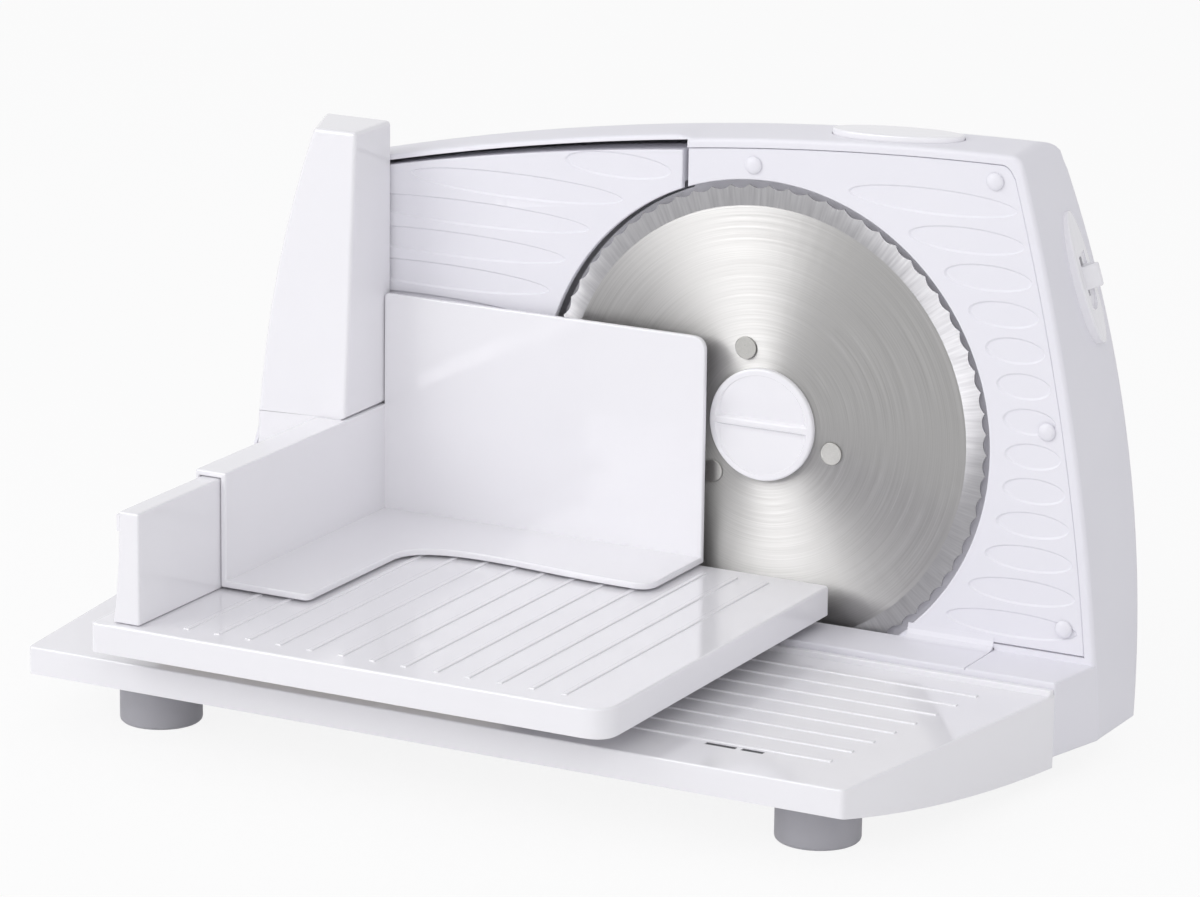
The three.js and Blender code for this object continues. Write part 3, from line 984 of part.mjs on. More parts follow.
// Pusher: channel on the fence, side wall, plate along the blade and a floor with a thumb bay
const pusherTopZ = FENCE_TOP_Z + REST_GAP + PUSHER_TOP_T;
function pusher() {
  const wallLeft = FENCE_RIGHT_X + RUN_GAP;
  const wallRight = wallLeft + PUSHER_T;
  const fenceLeft = FENCE_RIGHT_X - FENCE_T;
  const flangeLeft = fenceLeft - RUN_GAP - PUSHER_FLANGE_T;
  const plateBack = PUSHER_PLATE_FRONT_Y + PUSHER_T;
  const channelEnd = GUARD_FRONT_Y - 2 * REST_GAP;
  const roof = box(flangeLeft, wallRight, PUSHER_FRONT_Y, channelEnd, FENCE_TOP_Z + REST_GAP, pusherTopZ);
  const flange = box(flangeLeft, fenceLeft - RUN_GAP, PUSHER_FRONT_Y, channelEnd,
    pusherTopZ - PUSHER_FLANGE_H, pusherTopZ);
  const wall = box(wallLeft, wallRight, PUSHER_FRONT_Y, plateBack, pusherLowZ, pusherTopZ);
  const plateFace = outline([[wallRight - 0.4, pusherLowZ], [PUSHER_PLATE_RIGHT_X, pusherLowZ],
    [PUSHER_PLATE_RIGHT_X, PUSHER_PLATE_TOP_Z, PUSHER_PLATE_ROUND],
    [wallRight - 0.4, PUSHER_PLATE_TOP_Z, 2]]);
  const plate = alongY(plateFace, PUSHER_PLATE_FRONT_Y, plateBack);
  const sideEdge = wallRight + PUSHER_FLOOR_SIDE_W;
  const backEdge = PUSHER_PLATE_FRONT_Y - PUSHER_FLOOR_BACK_W;
  const endEdge = PUSHER_PLATE_FRONT_Y - PUSHER_FLOOR_END_W;
  const bay = new THREE.Shape();
  bay.moveTo(wallRight - 1, PUSHER_FRONT_Y);
  bay.lineTo(sideEdge - 3, PUSHER_FRONT_Y);
  bay.quadraticCurveTo(sideEdge, PUSHER_FRONT_Y, sideEdge, PUSHER_FRONT_Y + 4);
  bay.lineTo(sideEdge, backEdge - PUSHER_FLOOR_ROUND);
  bay.quadraticCurveTo(sideEdge + 1, backEdge, sideEdge + PUSHER_FLOOR_ROUND * 1.9, backEdge);
  bay.bezierCurveTo(sideEdge + 50, backEdge, PUSHER_PLATE_RIGHT_X - 40, endEdge,
    PUSHER_PLATE_RIGHT_X - 8, endEdge);
  bay.quadraticCurveTo(PUSHER_PLATE_RIGHT_X, endEdge, PUSHER_PLATE_RIGHT_X, endEdge + 8);
  bay.lineTo(PUSHER_PLATE_RIGHT_X, plateBack);
  bay.lineTo(wallRight - 1, plateBack);
  bay.closePath();
  const floor = alongZ(bay, pusherLowZ, pusherLowZ + PUSHER_FLOOR_T, 8);
  return join(roof, flange, wall, plate, floor);
}

// Power button, its spring and its switch on a shelf below
const stemY = BUTTON_Y + BUTTON_STEM_SHIFT;
const buttonTopZ = topArc(BUTTON_X) + BUTTON_PROUD;
const buttonLowZ = buttonTopZ - BUTTON_T;
const shelfZ = buttonLowZ - BUTTON_STEM_L - MICRO_SWITCH[2] - BUTTON_TRAVEL - 1;
function powerButton() {
  const cap = alongZ(oval(BUTTON_L, BUTTON_W, BUTTON_X, BUTTON_Y), buttonLowZ, buttonTopZ, 12);
  const hollow = alongZ(oval(BUTTON_L - 5, BUTTON_W - 5, BUTTON_X, BUTTON_Y),
    buttonLowZ - 1, buttonTopZ - 2 - BUTTON_SLANT, 10);
  const stem = turnedZ(rod(BUTTON_STEM_R, buttonLowZ - BUTTON_STEM_L, buttonTopZ - BUTTON_SLANT - 1),
    BUTTON_X, stemY, SMALL_ROUND);
  const front = BUTTON_Y - BUTTON_W / 2;
  const slope = outline([[front, buttonTopZ], [front + BUTTON_W, buttonTopZ - BUTTON_SLANT],
    [front + BUTTON_W, buttonTopZ + 5], [front, buttonTopZ + 5]]);
  const over = alongX(slope, BUTTON_X - BUTTON_L, BUTTON_X + BUTTON_L);
  return cut(join(cut(cap, hollow), stem), over);
}

// A coil spring as one unbroken tube; returns the solid and the least gap between its curls
function buttonSpring() {
  const top = buttonTopZ - 2 - BUTTON_SLANT - REST_GAP - SPRING_WIRE_R;
  const steps = SPRING_TURNS * 8;
  const points = range(steps + 1).map((i) => {
    const angle = 2 * Math.PI * i / 8;
    return new THREE.Vector3(BUTTON_X + SPRING_R * Math.cos(angle), stemY + SPRING_R * Math.sin(angle),
      top - SPRING_PITCH * i / 8);
  });
  let least = Infinity;
  points.forEach((p, i) => points.forEach((q, k) => {
    if (k - i > 4) least = Math.min(least, p.distanceTo(q) - 2 * SPRING_WIRE_R);
  }));
  console.log(`button_spring: least gap between curls ${least.toFixed(2)} mm`);
  const wire = new THREE.Shape();
  range(5).forEach((k) => {
    const angle = 2 * Math.PI * k / 5;
    const [x, y] = [SPRING_WIRE_R * Math.cos(angle), SPRING_WIRE_R * Math.sin(angle)];
    if (k === 0) wire.moveTo(x, y);
    else wire.lineTo(x, y);
  });
  const path = new THREE.CatmullRomCurve3(points);
  return solid(new THREE.ExtrudeGeometry(wire, { steps, extrudePath: path, bevelEnabled: false }));
}

// Side switch: built flat, X outwards, then set on the slanted right side
const switchLean = Math.atan((SWITCH_Z - SIDE_LOW_Z) / SIDE_R);
const switchSpot = new THREE.Vector3(sideRight(SWITCH_Z), SWITCH_Y, SWITCH_Z);
const switchMatrix = new THREE.Matrix4().makeTranslation(switchSpot)
  .multiply(new THREE.Matrix4().makeRotationY(-switchLean))
  .multiply(new THREE.Matrix4().makeRotationX(SWITCH_TILT * DEG));
const switchFrame = (shape) => shape.transform(switchMatrix.toArray());
function switchPlate() {
  const pad = alongX(oval(SWITCH_PAD_W, SWITCH_PAD_H), 0.6, 0.6 + SWITCH_PAD_T, 10);
  const [slotY, slotZ] = [SWITCH_SLOT_W / 2, SWITCH_SLOT_H / 2];
  const slot = alongX(outline([[-slotY, -slotZ, 2.5], [slotY, -slotZ, 2.5], [slotY, slotZ, 2.5],
    [-slotY, slotZ, 2.5]]), -1, SWITCH_PAD_T + 2, 4);
  const half = SWITCH_PAD_W / 2;
  const slope = outline([[0.6 + SWITCH_PAD_T, -half], [9, -half], [9, half],
    [0.6 + SWITCH_PAD_EDGE_T, half]]);
  const over = alongZ(slope, -SWITCH_PAD_H, SWITCH_PAD_H);
  return switchFrame(cut(pad, slot, over));
}
function switchSlider() {
  const halfW = NUB_W / 2;
  const nub = alongX(outline([[-halfW, -NUB_H / 2, 2], [halfW, -NUB_H / 2, 2], [halfW, NUB_H / 2, 2],
    [-halfW, NUB_H / 2, 2]]), -9, NUB_PROUD, 4);
  const keeper = box(-6, -4, -SWITCH_SLOT_W / 2 - 3, SWITCH_SLOT_W / 2 + 3, -NUB_H / 2 - 3, NUB_H / 2 + 3);
  return switchFrame(join(nub, keeper));
}
const microSwitch = (x, y, z) => {
  const [l, w, h] = MICRO_SWITCH;
  return box(x - l / 2, x + l / 2, y - w / 2, y + w / 2, z - h / 2, z + h / 2);
};

// Spots that several pieces share
const rivetSpots = range(RIVET_COUNT).map((i) => {
  const angle = (RIVET_FIRST_ANGLE + 360 * i / RIVET_COUNT) * DEG;
  return [RIVET_CIRCLE_R * Math.cos(angle), RIVET_CIRCLE_R * Math.sin(angle)];
});
const footTopZ = tableZ + FRONT_FOOT_H;
const upperArmZ = Math.sqrt((wellR + WALL) ** 2 - (wormX - BRACKET_W / 2) ** 2) + 2;
const axleNutY = wellFloorY + WALL + REST_GAP;
const shaftTopZ = upperArmZ + BUSH_L + 1;
const shaftLowZ = MOTOR_TOP_Z - MOTOR_L - 1 - FAN_T;

// Finishes
const finish = (color, roughness, metalness) =>
  new THREE.MeshStandardMaterial({ color, roughness, metalness });
const WHITE = () => finish(0xeceaf0, 0.3, 0);
const GREY_RUBBER = () => finish(0xa6a5ab, 0.8, 0);
const STEEL = () => finish(0xc4c4c2, 0.3, 1);
const DARK = () => finish(0x35353a, 0.55, 0.2);
const NATURAL = () => finish(0xe6e0d0, 0.5, 0);
const BRASS = () => finish(0xb99a54, 0.4, 1);

const slicer = new THREE.Group();
function piece(name, shape, material) {
  const { vertProperties, triVerts } = shape.getMesh();
  const geometry = new THREE.BufferGeometry();
  geometry.setAttribute('position', new THREE.Float32BufferAttribute(vertProperties, 3));
  geometry.setIndex(Array.from(triVerts));
  geometry.computeVertexNormals();
  const mesh = new THREE.Mesh(geometry, material);
  mesh.name = name;
  slicer.add(mesh);
}

// Housing and its covers
piece('housing_shell', housingShell(), WHITE());
piece('rear_cover', rearCover(), WHITE());
rearScrewSpots.forEach((spot, i) => {
  piece(`rear_cover_screw_${i + 1}`, screwY(spot, backAt(spot[1]) + POST_END_GAP, 1), STEEL());
});
piece('blade_cover', bladeCover(), WHITE());
DOME_SPOTS.forEach((spot, i) => piece(`cover_rivet_${i + 1}`, coverRivet(spot), WHITE()));
const glandY = backAt(GLAND_SPOT[1]) + POST_END_GAP;
const glandEnd = glandY - GLAND_L;
const glandTip = glandY + GLAND_COLLAR_L;
const glandProfile = [[GLAND_BORE_R, glandEnd], [GLAND_R, glandEnd], [GLAND_R, glandY],
  [GLAND_R + 2.5, glandY], [GLAND_R + 1.5, glandTip], [GLAND_BORE_R, glandTip],
  [GLAND_BORE_R, glandEnd]];
piece('cord_gland', turnedY(glandProfile, GLAND_SPOT[0], GLAND_SPOT[1], 16), DARK());

// Tray and feet
piece('base_tray', baseTray(), WHITE());
trayScrewSpots.forEach((spot, i) => {
  piece(`tray_screw_${i + 1}`, screwY(spot, trayBackY - WALL - REST_GAP, -1), STEEL());
});
['left', 'right'].forEach((side, i) => {
  piece(`front_foot_${side}`, foot(FRONT_FOOT_X[i], FRONT_FOOT_Y, FRONT_FOOT_R, footTopZ), GREY_RUBBER());
  const rearSeatZ = HOUSING_LOW_Z - REST_GAP;
  piece(`rear_foot_${side}`, foot(REAR_FOOT_X[i], REAR_FOOT_Y, REAR_FOOT_R, rearSeatZ), GREY_RUBBER());
});

// Blade and its drive
piece('blade', blade(), STEEL());
piece('blade_gear', bladeGear(), NATURAL());
rivetSpots.forEach((spot, i) => piece(`blade_rivet_${i + 1}`, bladeRivet(spot), STEEL()));
piece('blade_lock_knob', bladeLock(), WHITE());
piece('blade_axle', bladeAxle(), STEEL());
const hexagon = outline(range(6).map((i) =>
  [NUT_R * Math.cos(i * 60 * DEG), NUT_R * Math.sin(i * 60 * DEG)]));
piece('axle_nut', cut(alongY(hexagon, axleNutY, axleNutY + NUT_T),
  turnedY(rod(AXLE_STUD_R + REST_GAP, 0, BACK_Y), 0, 0, SMALL_ROUND)), STEEL());
piece('motor_can', motorCan(), STEEL());
piece('motor_shaft', atMotor(rod(MOTOR_SHAFT_R, shaftLowZ, shaftTopZ), SMALL_ROUND), STEEL());
piece('armature', atMotor(ring(ARMATURE_R, MOTOR_SHAFT_R + REST_GAP,
  MOTOR_TOP_Z - MOTOR_L + ARMATURE_INSET, MOTOR_TOP_Z - ARMATURE_INSET)), DARK());
piece('motor_fan', motorFan(), DARK());
piece('worm', worm(), STEEL());
piece('worm_bush', atMotor(ring(MOTOR_SHAFT_R + BUSH_WALL, MOTOR_SHAFT_R + 0.1,
  upperArmZ + 0.5, upperArmZ + BUSH_L + 0.5), 24), BRASS());
piece('gearbox_bracket', gearboxBracket(), STEEL());
bracketScrewSpots.forEach((spot, i) => {
  const headY = wellFloorY + WALL + 1 + BRACKET_T + REST_GAP;
  piece(`bracket_screw_${i + 1}`, screwY(spot, headY, 1, SHORT_SCREW_L), STEEL());
});

// Gauge plate and its thickness drive
piece('gauge_plate', gaugePlate(), WHITE());
['upper', 'lower'].forEach((place, i) => {
  const z = SPINDLE_Z + (i === 0 ? POST_SPREAD : -POST_SPREAD);
  const sleeveY = GAUGE_POCKET_Y + WALL + REST_GAP;
  const post = rod(POST_R, plateBackY + REST_GAP, plateBackY + POST_L);
  const sleeve = ring(POST_R + RUN_GAP + BUSH_WALL, POST_R + 0.1, sleeveY, sleeveY + GUIDE_BUSH_L);
  piece(`gauge_post_${place}`, turnedY(post, POST_X, z, 16), STEEL());
  piece(`guide_bush_${place}`, turnedY(sleeve, POST_X, z, 16), NATURAL());
});
const nutTube = ring(nutTubeR, nutTubeR - NUT_TUBE_WALL, plateBackY + REST_GAP, plateBackY + NUT_TUBE_L);
piece('gauge_nut', turnedY(nutTube, POST_X, SPINDLE_Z, 20), NATURAL());
piece('thickness_spindle', thicknessSpindle(), NATURAL());
piece('thickness_knob', thicknessKnob(), WHITE());

// Carriage and pusher
piece('carriage', carriage(), WHITE());
piece('side_fence', sideFence(), WHITE());
piece('finger_guard', fingerGuard(), WHITE());
piece('carriage_glide_front', glide(GLIDE_FRONT_Y), NATURAL());
piece('carriage_glide_rear', glide(GLIDE_REAR_Y), NATURAL());
piece('pusher', pusher(), WHITE());

// Switches
piece('power_button', powerButton(), WHITE());
piece('button_spring', buttonSpring(), STEEL());
piece('button_switch', microSwitch(BUTTON_X, stemY, shelfZ + REST_GAP + MICRO_SWITCH[2] / 2), DARK());
piece('switch_plate', switchPlate(), WHITE());
piece('switch_slider', switchSlider(), WHITE());
piece('run_switch', switchFrame(microSwitch(-20, 0, 0)), DARK());

// The origin is on the table, under the middle of the whole slicer
const bounds = new THREE.Box3().setFromObject(slicer);
const middle = bounds.getCenter(new THREE.Vector3());
slicer.position.set(-middle.x, -middle.y, AXLE_HEIGHT);

export default slicer;
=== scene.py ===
"""A white electric food slicer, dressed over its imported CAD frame.

Lengths are millimetres from the middle of the blade: +X runs along the blade's face, +Y to the
back and +Z up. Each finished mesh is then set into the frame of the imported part, in metres.
"""
from math import atan, cos, pi, radians, sin, sqrt, tau

import bmesh
import bpy
from mathutils import Matrix, Vector


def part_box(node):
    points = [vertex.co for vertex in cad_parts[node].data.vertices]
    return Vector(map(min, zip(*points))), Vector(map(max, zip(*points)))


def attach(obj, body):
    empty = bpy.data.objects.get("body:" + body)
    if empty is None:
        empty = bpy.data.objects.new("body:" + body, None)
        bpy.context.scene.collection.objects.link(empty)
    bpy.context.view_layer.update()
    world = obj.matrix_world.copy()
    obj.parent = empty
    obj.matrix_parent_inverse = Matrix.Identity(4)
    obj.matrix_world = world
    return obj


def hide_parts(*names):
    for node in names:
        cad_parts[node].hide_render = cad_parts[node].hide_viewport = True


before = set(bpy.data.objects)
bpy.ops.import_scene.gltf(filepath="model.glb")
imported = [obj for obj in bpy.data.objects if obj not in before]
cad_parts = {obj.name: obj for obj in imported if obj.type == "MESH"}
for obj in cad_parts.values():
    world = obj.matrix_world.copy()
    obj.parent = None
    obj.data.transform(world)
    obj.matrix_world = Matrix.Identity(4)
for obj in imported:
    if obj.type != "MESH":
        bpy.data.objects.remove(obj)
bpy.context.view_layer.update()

# Base tray
# One injection-moulded ABS plate, ribbed on top and open underneath, with a rail along its back.
# It is screwed to the sill of the housing; two dark nylon strips sit in slits near its front as painted
# shade, so that the slits read dark.
MILLIMETRE = 0.001
SHARP = radians(35)
TRAY_RAIL_H = 2.2
TRAY_EDGE_ROUND = 0.8
TRAY_RIB_H = 1.0
RIB_ROUND = 0.45
RIB_CUT = 0.45
SLITS = ((51.5, 64.2), (66.3, 75.4))
SLIT_FRONT_Y = -149.0
SLIT_BACK_Y = -146.0
SLIT_DEPTH = 3.5
# How far the painted-shade strips sit below the tray's top
SLIT_SHADE_SINK = 0.35

blade_low, blade_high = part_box("blade")
axle = Vector(((blade_low.x + blade_high.x) / 2, blade_low.y, (blade_low.z + blade_high.z) / 2))
to_row = Matrix.Translation(axle) @ Matrix.Scale(MILLIMETRE, 4)
to_mm = to_row.inverted()


def corners(name):
    """The lowest and highest corner of a CAD node, in millimetres from the blade's middle."""
    low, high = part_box(name)
    return to_mm @ low, to_mm @ high


def linear(hex_colour):
    """An sRGB hex colour as linear red, green, blue and alpha."""
    parts = [int(hex_colour[i:i + 2], 16) / 255 for i in (1, 3, 5)]
    return [c / 12.92 if c <= 0.04045 else ((c + 0.055) / 1.055) ** 2.4 for c in parts] + [1]


def node(tree, kind, settings=None, sockets=None):
    """Adds a shader node; a socket takes a value or another node's output."""
    added = tree.nodes.new(kind)
    for key, value in (settings or {}).items():
        setattr(added, key, value)
    for key, value in (sockets or {}).items():
        if isinstance(value, bpy.types.NodeSocket):
            tree.links.new(value, added.inputs[key])
        else:
            added.inputs[key].default_value = value
    return added


def new_finish(name):
    """A fresh material, its node tree and its shader."""
    finish = bpy.data.materials.new(name)
    finish.use_nodes = True
    return finish, finish.node_tree, finish.node_tree.nodes["Principled BSDF"]


def vary(tree, shader, pattern, tone, shade, roughness, swing):
    """Lets a pattern drive the colour between two tones, and the gloss by a share either way."""
    colour = node(tree, "ShaderNodeMix", {"data_type": "RGBA"}, {
        0: pattern, 6: linear(tone), 7: linear(shade)})
    gloss = node(tree, "ShaderNodeMapRange", None, {
        "Value": pattern, "To Min": roughness * (1 - swing), "To Max": roughness * (1 + swing)})
    tree.links.new(colour.outputs[2], shader.inputs["Base Color"])
    tree.links.new(gloss.outputs["Result"], shader.inputs["Roughness"])


def moulded(name, tone, shade, roughness, ior, grain_mm, grain_depth_mm, drift_mm=45):
    """Moulded plastic: a faint drift between two tones, uneven gloss and a fine grain from the mould."""
    finish, tree, shader = new_finish(name)
    shader.inputs["IOR"].default_value = ior
    place_on = node(tree, "ShaderNodeTexCoord").outputs["Object"]
    drift = node(tree, "ShaderNodeTexNoise", None, {
        "Vector": place_on, "Scale": 1 / (drift_mm * MILLIMETRE), "Detail": 2.0})
    vary(tree, shader, drift.outputs["Fac"], tone, shade, roughness, 0.15)
    grain = node(tree, "ShaderNodeTexNoise", None, {
        "Vector": place_on, "Scale": 1 / (grain_mm * MILLIMETRE), "Detail": 3.0})
    bump = node(tree, "ShaderNodeBump", None, {
        "Height": grain.outputs["Fac"], "Strength": 0.5, "Distance": grain_depth_mm * MILLIMETRE})
    tree.links.new(bump.outputs["Normal"], shader.inputs["Normal"])
    return finish


# White ABS from a polished mould: glossy, faintly lilac, with a barely visible orange peel; its tone is a
# little lighter than the satin's, as painted light
white_abs = moulded("white_abs_polished_mould", "#F3F2F6", "#F0EFF3", 0.09, 1.5, 1.6, 0.003)


def copy_of(name):
    """A CAD node's solid as one merged mesh with its flat faces whole."""
    bm = bmesh.new()
    bm.from_mesh(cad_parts[name].data)
    bm.transform(to_mm)
    bmesh.ops.remove_doubles(bm, verts=bm.verts, dist=0.004)
    bmesh.ops.dissolve_limit(bm, angle_limit=radians(0.1), verts=bm.verts, edges=bm.edges)
    return bm


def round_edges(bm, radius, wanted=lambda middle, edge: True, steps=3):
    """Rounds the sharp convex edges that are wanted, told by their middle."""
    chosen = []
    for edge in bm.edges:
        if not edge.is_manifold or not edge.is_convex or edge.calc_face_angle() < SHARP:
            continue
        if wanted((edge.verts[0].co + edge.verts[1].co) / 2, edge):
            chosen.append(edge)
    bmesh.ops.bevel(bm, geom=chosen, offset=radius, offset_type="OFFSET", affect="EDGES",
                    segments=steps, profile=0.5, clamp_overlap=False, material=-1)
    return bm


def place(bm, name, finish, body, slot, *nodes, sharp=SHARP):
    """Sets a finished mesh into the row frame and ties it to the CAD."""
    bm.transform(to_row)
    for face in bm.faces:
        face.smooth = True
    for edge in bm.edges:
        edge.smooth = edge.calc_face_angle(0) < sharp
    mesh = bpy.data.meshes.new(name)
    bm.to_mesh(mesh)
    bm.free()
    mesh.materials.append(finish)
    piece = bpy.data.objects.new(name, mesh)
    bpy.context.scene.collection.objects.link(piece)
    even = piece.modifiers.new("even_normals", "WEIGHTED_NORMAL")
    even.keep_sharp = True
    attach(piece, body)
    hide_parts(*nodes)
    return piece


def combine(bm, tool, operation="DIFFERENCE"):
    """The solid that a Boolean of two solids leaves."""
    solids = []
    for shape in (bm, tool):
        mesh = bpy.data.meshes.new("solid")
        shape.to_mesh(mesh)
        shape.free()
        solids.append(bpy.data.objects.new("solid", mesh))
        bpy.context.scene.collection.objects.link(solids[-1])
    boolean = solids[0].modifiers.new("boolean", "BOOLEAN")
    boolean.object = solids[1]
    boolean.operation = operation
    boolean.solver = "EXACT"
    result = bmesh.new()
    result.from_object(solids[0], bpy.context.evaluated_depsgraph_get())
    for solid in solids:
        bpy.data.meshes.remove(solid.data)
    return result


def joined(*shapes):
    """Bodies that don't touch, as one mesh."""
    mesh = bpy.data.meshes.new("joined")
    bm = bmesh.new()
    for shape in shapes:
        shape.to_mesh(mesh)
        shape.free()
        bm.from_mesh(mesh)
    bpy.data.meshes.remove(mesh)
    return bm


def brick(low, high):
    """A box between two corners."""
    bm = bmesh.new()
    middle = (Vector(low) + Vector(high)) / 2
    size = Vector(high) - Vector(low)
    bmesh.ops.create_cube(bm, size=1, matrix=Matrix.Translation(middle) @ Matrix.Diagonal((*size, 1)))
    return bm


tray_low, tray_high = corners("base_tray")
tray_top = tray_high.z - TRAY_RAIL_H
slits = [brick((start, SLIT_FRONT_Y, tray_top - SLIT_DEPTH), (end, SLIT_BACK_Y, tray_top + 2))
         for start, end in SLITS]
tray = combine(copy_of("base_tray"), joined(*slits))
round_edges(tray, TRAY_EDGE_ROUND, lambda middle, edge: abs(middle.z - tray_top) < 0.05 and (
    middle.y < tray_low.y + 3 or edge.calc_length() > 100))
ribs = [vert for vert in tray.verts if abs(vert.co.z - tray_top - TRAY_RIB_H) < 0.05]
bmesh.ops.translate(tray, verts=ribs, vec=(0, 0, -RIB_CUT))
round_edges(tray, RIB_ROUND, lambda middle, edge: middle.z > tray_top + 0.3)
place(tray, "tray", white_abs, "base", "white_plastic", "base_tray")

# Glass-filled nylon: dark, dull and slightly speckled
dark_nylon = moulded("dark_nylon_glass_filled", "#3A3A40", "#303036", 0.5, 1.53, 0.5, 0.02, 6)
# Dark strips in the slits: painted shade, standing in for the shadow inside them
slit_shade_strips = [brick((start, SLIT_FRONT_Y, tray_top - SLIT_DEPTH), (end, SLIT_BACK_Y, tray_top - SLIT_SHADE_SINK))
           for start, end in SLITS]
place(joined(*slit_shade_strips), "tray_slit_painted_shade", dark_nylon, "base", "dark_plastic")

# Feet
# Four grey thermoplastic rubber feet, moulded, pushed into the tray and the housing with a peg.
FOOT_ROUND = 1.4
FOOT_SIDES = 72

# Soft rubber: matt, dusty grey, with a coarse grain that scatters the light
grey_rubber = moulded("grey_rubber_moulded", "#BDBCC2", "#B4B3BA", 0.55, 1.5, 0.6, 0.03, 12)


def turned(profile, middle, axis, sides=FOOT_SIDES):
    """A closed body of revolution: profile holds (radius, height) along the axis from its middle."""
    bm = bmesh.new()
    axis = Vector(axis)
    across = axis.orthogonal().normalized()
    points = [bm.verts.new(Vector(middle) + across * r + axis * h) for r, h in profile]
    lines = [bm.edges.new(pair) for pair in zip(points, points[1:])]
    bmesh.ops.spin(bm, geom=points + lines, cent=middle, axis=axis, dvec=(0, 0, 0), angle=tau,
                   steps=sides, use_merge=True, use_duplicate=False)
    bmesh.ops.remove_doubles(bm, verts=bm.verts, dist=0.001)
    bmesh.ops.recalc_face_normals(bm, faces=bm.faces)
    return bm


FOOT_PEG_R = 4.5
FOOT_PEG_L = 8
for foot in ("front_foot_left", "front_foot_right", "rear_foot_left", "rear_foot_right"):
    low, high = corners(foot)
    foot_r = (high.x - low.x) / 2
    foot_h = high.z - low.z - FOOT_PEG_L
    profile = [(0, 0), (foot_r * 0.62, 0), (foot_r * 0.66, 0.8), (foot_r * 0.7, 0), (foot_r, 0),
               (foot_r, foot_h), (FOOT_PEG_R, foot_h), (FOOT_PEG_R, foot_h + FOOT_PEG_L),
               (0, foot_h + FOOT_PEG_L)]
    bm = turned(profile, ((low.x + high.x) / 2, (low.y + high.y) / 2, low.z), (0, 0, 1))
    round_edges(bm, FOOT_ROUND, lambda middle, edge: (middle.xy - Vector((
        (low.x + high.x) / 2, (low.y + high.y) / 2))).length > foot_r - 0.3)
    place(bm, foot + "_rubber", grey_rubber, "base", "grey_rubber", foot)

# Housing
# The main shell: one arched ABS moulding with a sill in front, open at the back for the drive.
# The plates in front and the panel at the back close it.
WALL = 2.5
FRONT_Y = -2.0
FRONT_ROUND = 2.0
HOUSING_LOW_Z = -105.5
LOW_ROUND = 1.2
SIDE_FOOT_X = 148.0
SIDE_LOW_Z = -160.0
SIDE_CURVE = 1870.0
LEFT_FOOT_X = -243.0
LEFT_LEAN = 0.3
TOP_X = 105.0
TOP_Z = 120.3
TOP_CURVE = 2362.0
TOP_CROWN = 1.6
CROWN_LEFT_X = -33.0
TOP_RIGHT_ROUND = 3.6
TOP_LEFT_ROUND = 10.8
BACK_MID_Z = 5.0
BACK_CURVE = 930.0
BACK_SIDE_ROUND = 9.0
BACK_TOP_ROUND = 21.0
BACK_STEPS = (0, 0.25, 1, 2.2, 4, 6.3, 9, 12, 15, 18, 20.5)
SILL_TOP_Z = -75.9
SILL_FRONT_Y = -29.0
SILL_ROUND = 0.8
BACK_CAP_IN = 4.0
BACK_CAP_OUT = 3.0
# How far the points of the top and the sides keep away from the corners, to leave room for rounding
RIGHT_CORNER_RUN = 5.0
LEFT_CORNER_RUN = 12.0
# White ABS from a finely etched mould, satin: the same plastic as the glossy parts, its tone a little darker
# as painted shade
white_satin_shaded = moulded("white_abs_satin_shaded_tone", "#EEEDF3", "#EAE9F0", 0.42, 1.3, 0.8, 0.006)
back_y = corners("housing_shell")[1].y
# Clear of the back, for cuts from behind
behind_y = back_y + 8


def spread(start, end, count):
    """Evenly spaced values, both ends among them."""
    return [start + (end - start) * i / (count - 1) for i in range(count)]


def side_right(z):
    return SIDE_FOOT_X - (z - SIDE_LOW_Z) ** 2 / SIDE_CURVE


def side_left(z):
    return LEFT_FOOT_X + max(0, z - SILL_TOP_Z) * LEFT_LEAN


def top_arc(x):
    return TOP_Z - (x - TOP_X) ** 2 / TOP_CURVE


def back_at(z):
    return back_y - (z - BACK_MID_Z) ** 2 / BACK_CURVE


def top_corner(side):
    """Where the top arc meets a side of the arch, found by stepping from one to the other."""
    z = TOP_Z
    for _ in range(20):
        z = top_arc(side(z))
    return side(z), z


corner_right = top_corner(side_right)
corner_left = top_corner(side_left)


def arch_outline(inset, low_z, low_round=LOW_ROUND, crown=0):
    """The arch drawn in by inset, as (x, z) points, and how far each of its corners is rounded."""
    low_right = (side_right(low_z) - inset, low_z)
    high_right = (corner_right[0] - inset, corner_right[1] - inset - crown)
    high_left = (corner_left[0] + inset, corner_left[1] - inset)
    low_left = (side_left(low_z) + inset, low_z)
    first_z = low_z + low_round + 1
    right = [(side_right(z) - inset, z) for z in spread(first_z, high_right[1] - RIGHT_CORNER_RUN, 30)]
    top = [(x, top_arc(x) - inset - (crown if x > CROWN_LEFT_X else 0))
           for x in spread(high_right[0] - RIGHT_CORNER_RUN, high_left[0] + LEFT_CORNER_RUN, 50)]
    left = [(side_left(z) + inset, z) for z in spread(high_left[1] - LEFT_CORNER_RUN, first_z, 24)]
    points = [low_right, *right, high_right, *top, high_left, *left, low_left]
    rounds = [(low_right, low_round), (high_right, TOP_RIGHT_ROUND), (high_left, TOP_LEFT_ROUND),
              (low_left, low_round)]
    return points, rounds


def sheet(bm, points, rounds, y):
    """A flat face through (x, z) points at a depth y, with some of its corners rounded."""
    others = set(bm.faces)
    verts = {point: bm.verts.new((point[0], y, point[1])) for point in points}
    bm.faces.new(list(verts.values()))
    for point, radius in rounds:
        bmesh.ops.bevel(bm, geom=[verts[point]], offset=radius, affect="VERTICES", segments=8,
                        profile=0.5, clamp_overlap=False, material=-1)
    return next(face for face in bm.faces if face not in others)


